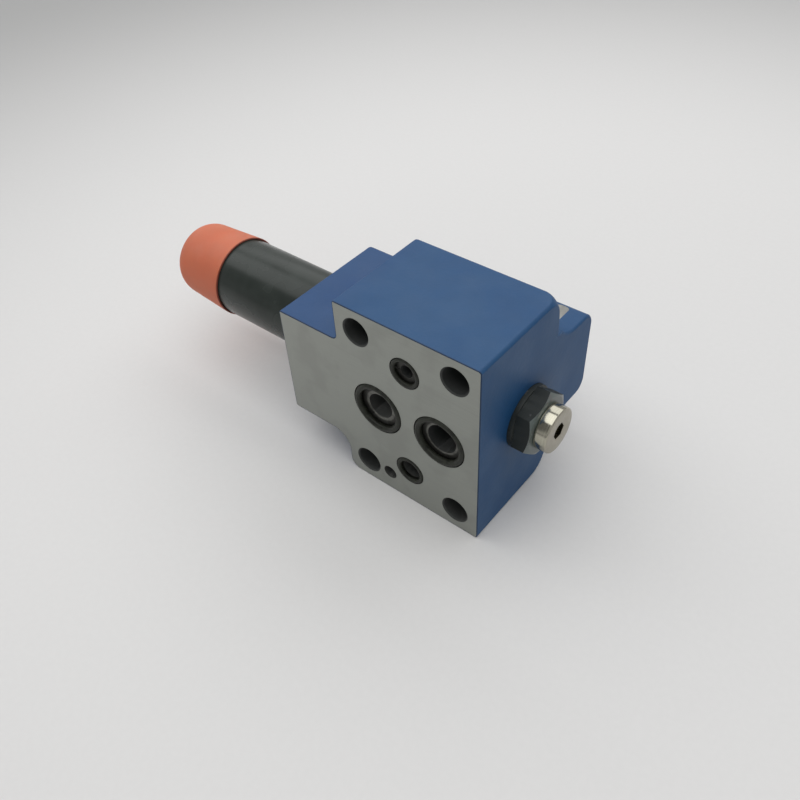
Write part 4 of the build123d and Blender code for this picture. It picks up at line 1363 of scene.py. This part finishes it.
@dataclass
class Internals:
    """The springs, and the finishes of the steel pieces inside."""

    steels: dict[str, Steel] = field(
        default_factory=lambda: {
            "control_spool": Steel.GROUND,
            "check_seat": Steel.GROUND,
            "check_poppet": Steel.GROUND,
            "damping_orifice": Steel.TURNED,
            "spring_seat": Steel.TURNED,
            "spring_plate": Steel.TURNED,
        }
    )
    main_wire: float = 0.0016
    check_wire: float = 0.0004
    seat_travel: float = 0.006
    plate_travel: float = 0.009
    poppet_travel: float = 0.003

    def coil(self, shop: Workshop, name: str, node: str, wire: float, turns: float, part: tuple[float, float]) -> bpy.types.Object:
        """Winds one spring, or a part of its length, to the size of its CAD node.

        Args:
            shop: The shared finishes and patterns.
            name: The piece's name.
            node: The CAD node that gives the size.
            wire: The wire's radius.
            turns: How many turns the whole spring has.
            part: The start and end of the stretch to make, from 0 to 1.

        Returns:
            The wound wire.
        """
        low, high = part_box(node)
        values = {
            "Left": low.x,
            "Right": high.x,
            "Mean Radius": (high.z - low.z) / 2 - wire,
            "Wire Radius": wire,
            "Turns": turns,
            "Closed Turns": 1.0,
            "Axis Y": (low.y + high.y) / 2,
            "From": part[0],
            "To": part[1],
        }
        return shop.coil_pattern.run(name, shop.steels[Steel.WIRE], values)

    def springs(self, shop: Workshop) -> None:
        """Makes both springs, the main one in two halves."""
        left = self.coil(shop, "main_spring_plate_half", "main_spring", self.main_wire, 9.0, (0.0, 0.5))
        right = self.coil(shop, "main_spring_spool_half", "main_spring", self.main_wire, 9.0, (0.5, 1.0))
        for piece, joint, travel in ((left, "plate_advance", self.plate_travel), (right, "spool_slide", self.seat_travel)):
            fit(piece, "valve", "spring_steel", "main_spring")
            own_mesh(piece)
        small = self.coil(shop, "check_spring_wire", "check_spring", self.check_wire, 8.0, (0.0, 1.0))
        fit(small, "valve", "spring_steel", "check_spring")
        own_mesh(small)

    def dress(self, shop: Workshop) -> None:
        """Gives the CAD pieces that stay their finishes."""
        for node, steel in self.steels.items():
            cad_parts[node].material_slots[0].material = shop.steels[steel]
        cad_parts["check_plug"].material_slots[0].material = shop.black_plug
        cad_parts["gauge_plug_seal"].material_slots[0].material = shop.rubber

    def build(self, shop: Workshop) -> None:
        """Makes the springs and dresses the rest."""
        self.springs(shop)
        self.dress(shop)


# Studio


@dataclass
class Lamp:
    """One wide soft lamp that hangs level over the table."""

    name: str
    at: tuple[float, float, float]
    size: tuple[float, float]
    watts: float
    colour: Colour = (1.0, 1.0, 1.0)

    def build(self) -> None:
        """Hangs the lamp."""
        light = bpy.data.lights.new(self.name, "AREA")
        light.shape = "RECTANGLE"
        light.size, light.size_y = self.size
        light.energy = self.watts
        light.color = self.colour
        lamp = bpy.data.objects.new(self.name, light)
        lamp.location = self.at
        bpy.context.scene.collection.objects.link(lamp)


@dataclass
class Studio:
    """The table, the lamps, the pale surroundings and the camera."""

    eye: tuple[float, float, float] = (0.135813, -0.155549, 0.213864)
    forward: tuple[float, float, float] = (-0.47675, 0.53541, -0.69717)
    right: tuple[float, float, float] = (0.77608, 0.62882, -0.04780)
    lens: float = 36.614
    room: Colour = (0.38, 0.38, 0.375)
    backdrop: Colour = (0.60, 0.60, 0.60)
    dark_side: tuple[float, float, float] = (-0.47, -0.70, 0.54)
    lamps: tuple[Lamp, ...] = (
        Lamp("over_front", (-0.65, -0.185, 1.2), (3.1, 1.13), 16.6),
        Lamp("over_back", (-0.65, 1.61, 1.2), (3.1, 1.98), 22.0),
    )

    def camera(self) -> None:
        """Sets the camera where the photograph was taken from."""
        lens = bpy.data.cameras.new("camera")
        lens.lens = self.lens
        lens.sensor_width = 36.0
        lens.clip_start = 0.005
        camera = bpy.data.objects.new("camera", lens)
        back = -Vector(self.forward).normalized()
        side = Vector(self.right)
        side = (side - back * side.dot(back)).normalized()
        up = back.cross(side)
        camera.matrix_world = Matrix.Translation(self.eye) @ Matrix((side, up, back)).transposed().to_4x4()
        bpy.context.scene.collection.objects.link(camera)
        bpy.context.scene.camera = camera

    def floor(self) -> None:
        """Lays the table under the valve."""
        level = cad_box[0][2]
        shape = bmesh.new()
        bmesh.ops.create_grid(shape, x_segments=8, y_segments=8, size=3.0)
        for corner in shape.verts:
            corner.co.z = level
        mesh = bpy.data.meshes.new("table")
        shape.to_mesh(mesh)
        shape.free()
        finish = FloorFinish("pale_table", (0.690, 0.686, 0.684), 0.6)
        place(mesh, "table", finish.build())

    def surround(self) -> None:
        """Lights everything from the pale room around it."""
        world = bpy.data.worlds.new("room")
        world.use_nodes = True
        graph = Graph(world.node_tree)
        path = graph.add("ShaderNodeLightPath").outputs
        direct = graph.math("MAXIMUM", path["Is Camera Ray"], path["Is Transmission Ray"])
        seen = graph.math("MAXIMUM", direct, graph.math("MULTIPLY", path["Is Glossy Ray"], 0.3))
        colour = graph.blend(seen, self.room, self.backdrop)
        looking = graph.add("ShaderNodeTexCoord").outputs["Object"]
        inputs = {0: looking, 1: self.dark_side}
        facing = graph.add("ShaderNodeVectorMath", inputs, operation="DOT_PRODUCT").outputs["Value"]
        dark = graph.math("MULTIPLY", graph.ramp(facing, 0.85, 0.95, (0.0, 0.6)), path["Is Glossy Ray"])
        colour = graph.blend(dark, colour, (0.02, 0.02, 0.02))
        room = graph.add("ShaderNodeBackground", {"Color": colour, "Strength": 1.0})
        graph.add("ShaderNodeOutputWorld", {"Surface": room.outputs[0]})
        bpy.context.scene.world = world

    def build(self) -> None:
        """Sets everything up."""
        self.camera()
        self.floor()
        self.surround()
        for lamp in self.lamps:
            lamp.build()
        bpy.context.scene.view_settings.view_transform = "Standard"


def open_workshop() -> Workshop:
    """Builds the shared groups, every finish and every pattern."""
    for build_group in (build_marks_group, build_grain_group, build_wear_group, build_dust_group, build_disc_group):
        build_group()
    blue = (0.005, 0.062, 0.170)
    steels = {}
    for steel in Steel:
        colour, roughness, depth = steel.value
        name = f"{steel.name.lower()}_steel"
        finish = MachinedFinish(name, colour, roughness, (3200.0, 40.0, 40.0), stain_amount=0.15, depth=depth * 1e-5)
        steels[steel] = finish.build()
    return Workshop(
        paint=PaintFinish("blue_paint", blue, 0.52).build(),
        # A darker blue than the paint, for the outline bevel: painted shade along the edge of the ground face.
        shaded_edge_paint=PaintFinish("blue_paint_shaded_edge", (0.010, 0.034, 0.085), 0.7, (0.010, 0.030, 0.080), dust=0.0).build(),
        ground_face=MachinedFinish("ground_iron", (0.312, 0.325, 0.300), 0.37, (22.0, 700.0, 1500.0), stain_amount=0.12, contrast=0.05).build(),
        recess=RecessFinish("port_recess", (0.045, 0.045, 0.04), 0.45).build(),
        # Bore and hole walls coloured near black: painted shade deep inside the holes.
        bore=MachinedFinish("painted_shade_bore", (0.040, 0.043, 0.042), 0.65, (60.0, 1800.0, 60.0), depth=0.00002, metallic=0.1).build(),
        milled=MachinedFinish("milled_seat", (0.31, 0.31, 0.295), 0.4, (500.0, 900.0, 500.0)).build(),
        black_sleeve=BlackFinish("black_sleeve", (0.022, 0.027, 0.024), 0.24, rub_amount=0.0, dust=0.012, gloss=0.24).build(),
        black_plug=BlackFinish("black_plug", (0.014, 0.018, 0.017), 0.5, depth=0.00003, dust=0.012, gloss=0.35).build(),
        soft_cap=SoftPlasticFinish("soft_orange", (0.56, 0.150, 0.078), 0.55).build(),
        # Lighter teal-grey for the plug's end face: painted sheen of the bright surroundings, with rubbed wear patches
        # as well.
        plug_face_sheen=BlackFinish("black_plug_face_sheen", (0.075, 0.095, 0.090), 0.3, rub_amount=0.4).build(),
        nickel_face=MachinedFinish(
            "nickel_face", (0.42, 0.395, 0.335), 0.42, (500.0, 500.0, 500.0), stain_amount=0.1, metallic=1.0, contrast=0.04
        ).build(),
        nickel=MachinedFinish(
            "nickel", (0.44, 0.425, 0.35), 0.13, (2800.0, 30.0, 30.0), stain_amount=0.08, depth=0.000004, metallic=1.0
        ).build(),
        rubber=RubberFinish("seal_rubber", (0.011, 0.012, 0.009), 0.45).build(),
        steels=steels,
        seal_pattern=build_seal_pattern(),
        coil_pattern=build_coil_pattern(),
        thread_pattern=build_thread_pattern(),
    )


def main() -> None:
    """Builds the studio and every sub-assembly."""
    logging.basicConfig(level=logging.INFO, format="%(name)s: %(message)s")
    Studio().build()
    shop = open_workshop()
    for assembly in (CastBody(), Seals(), SpringSide(), PlugSide(), Internals()):
        assembly.build(shop)
        log.info("%s done", type(assembly).__name__)


if __name__ == "__main__":
    main()
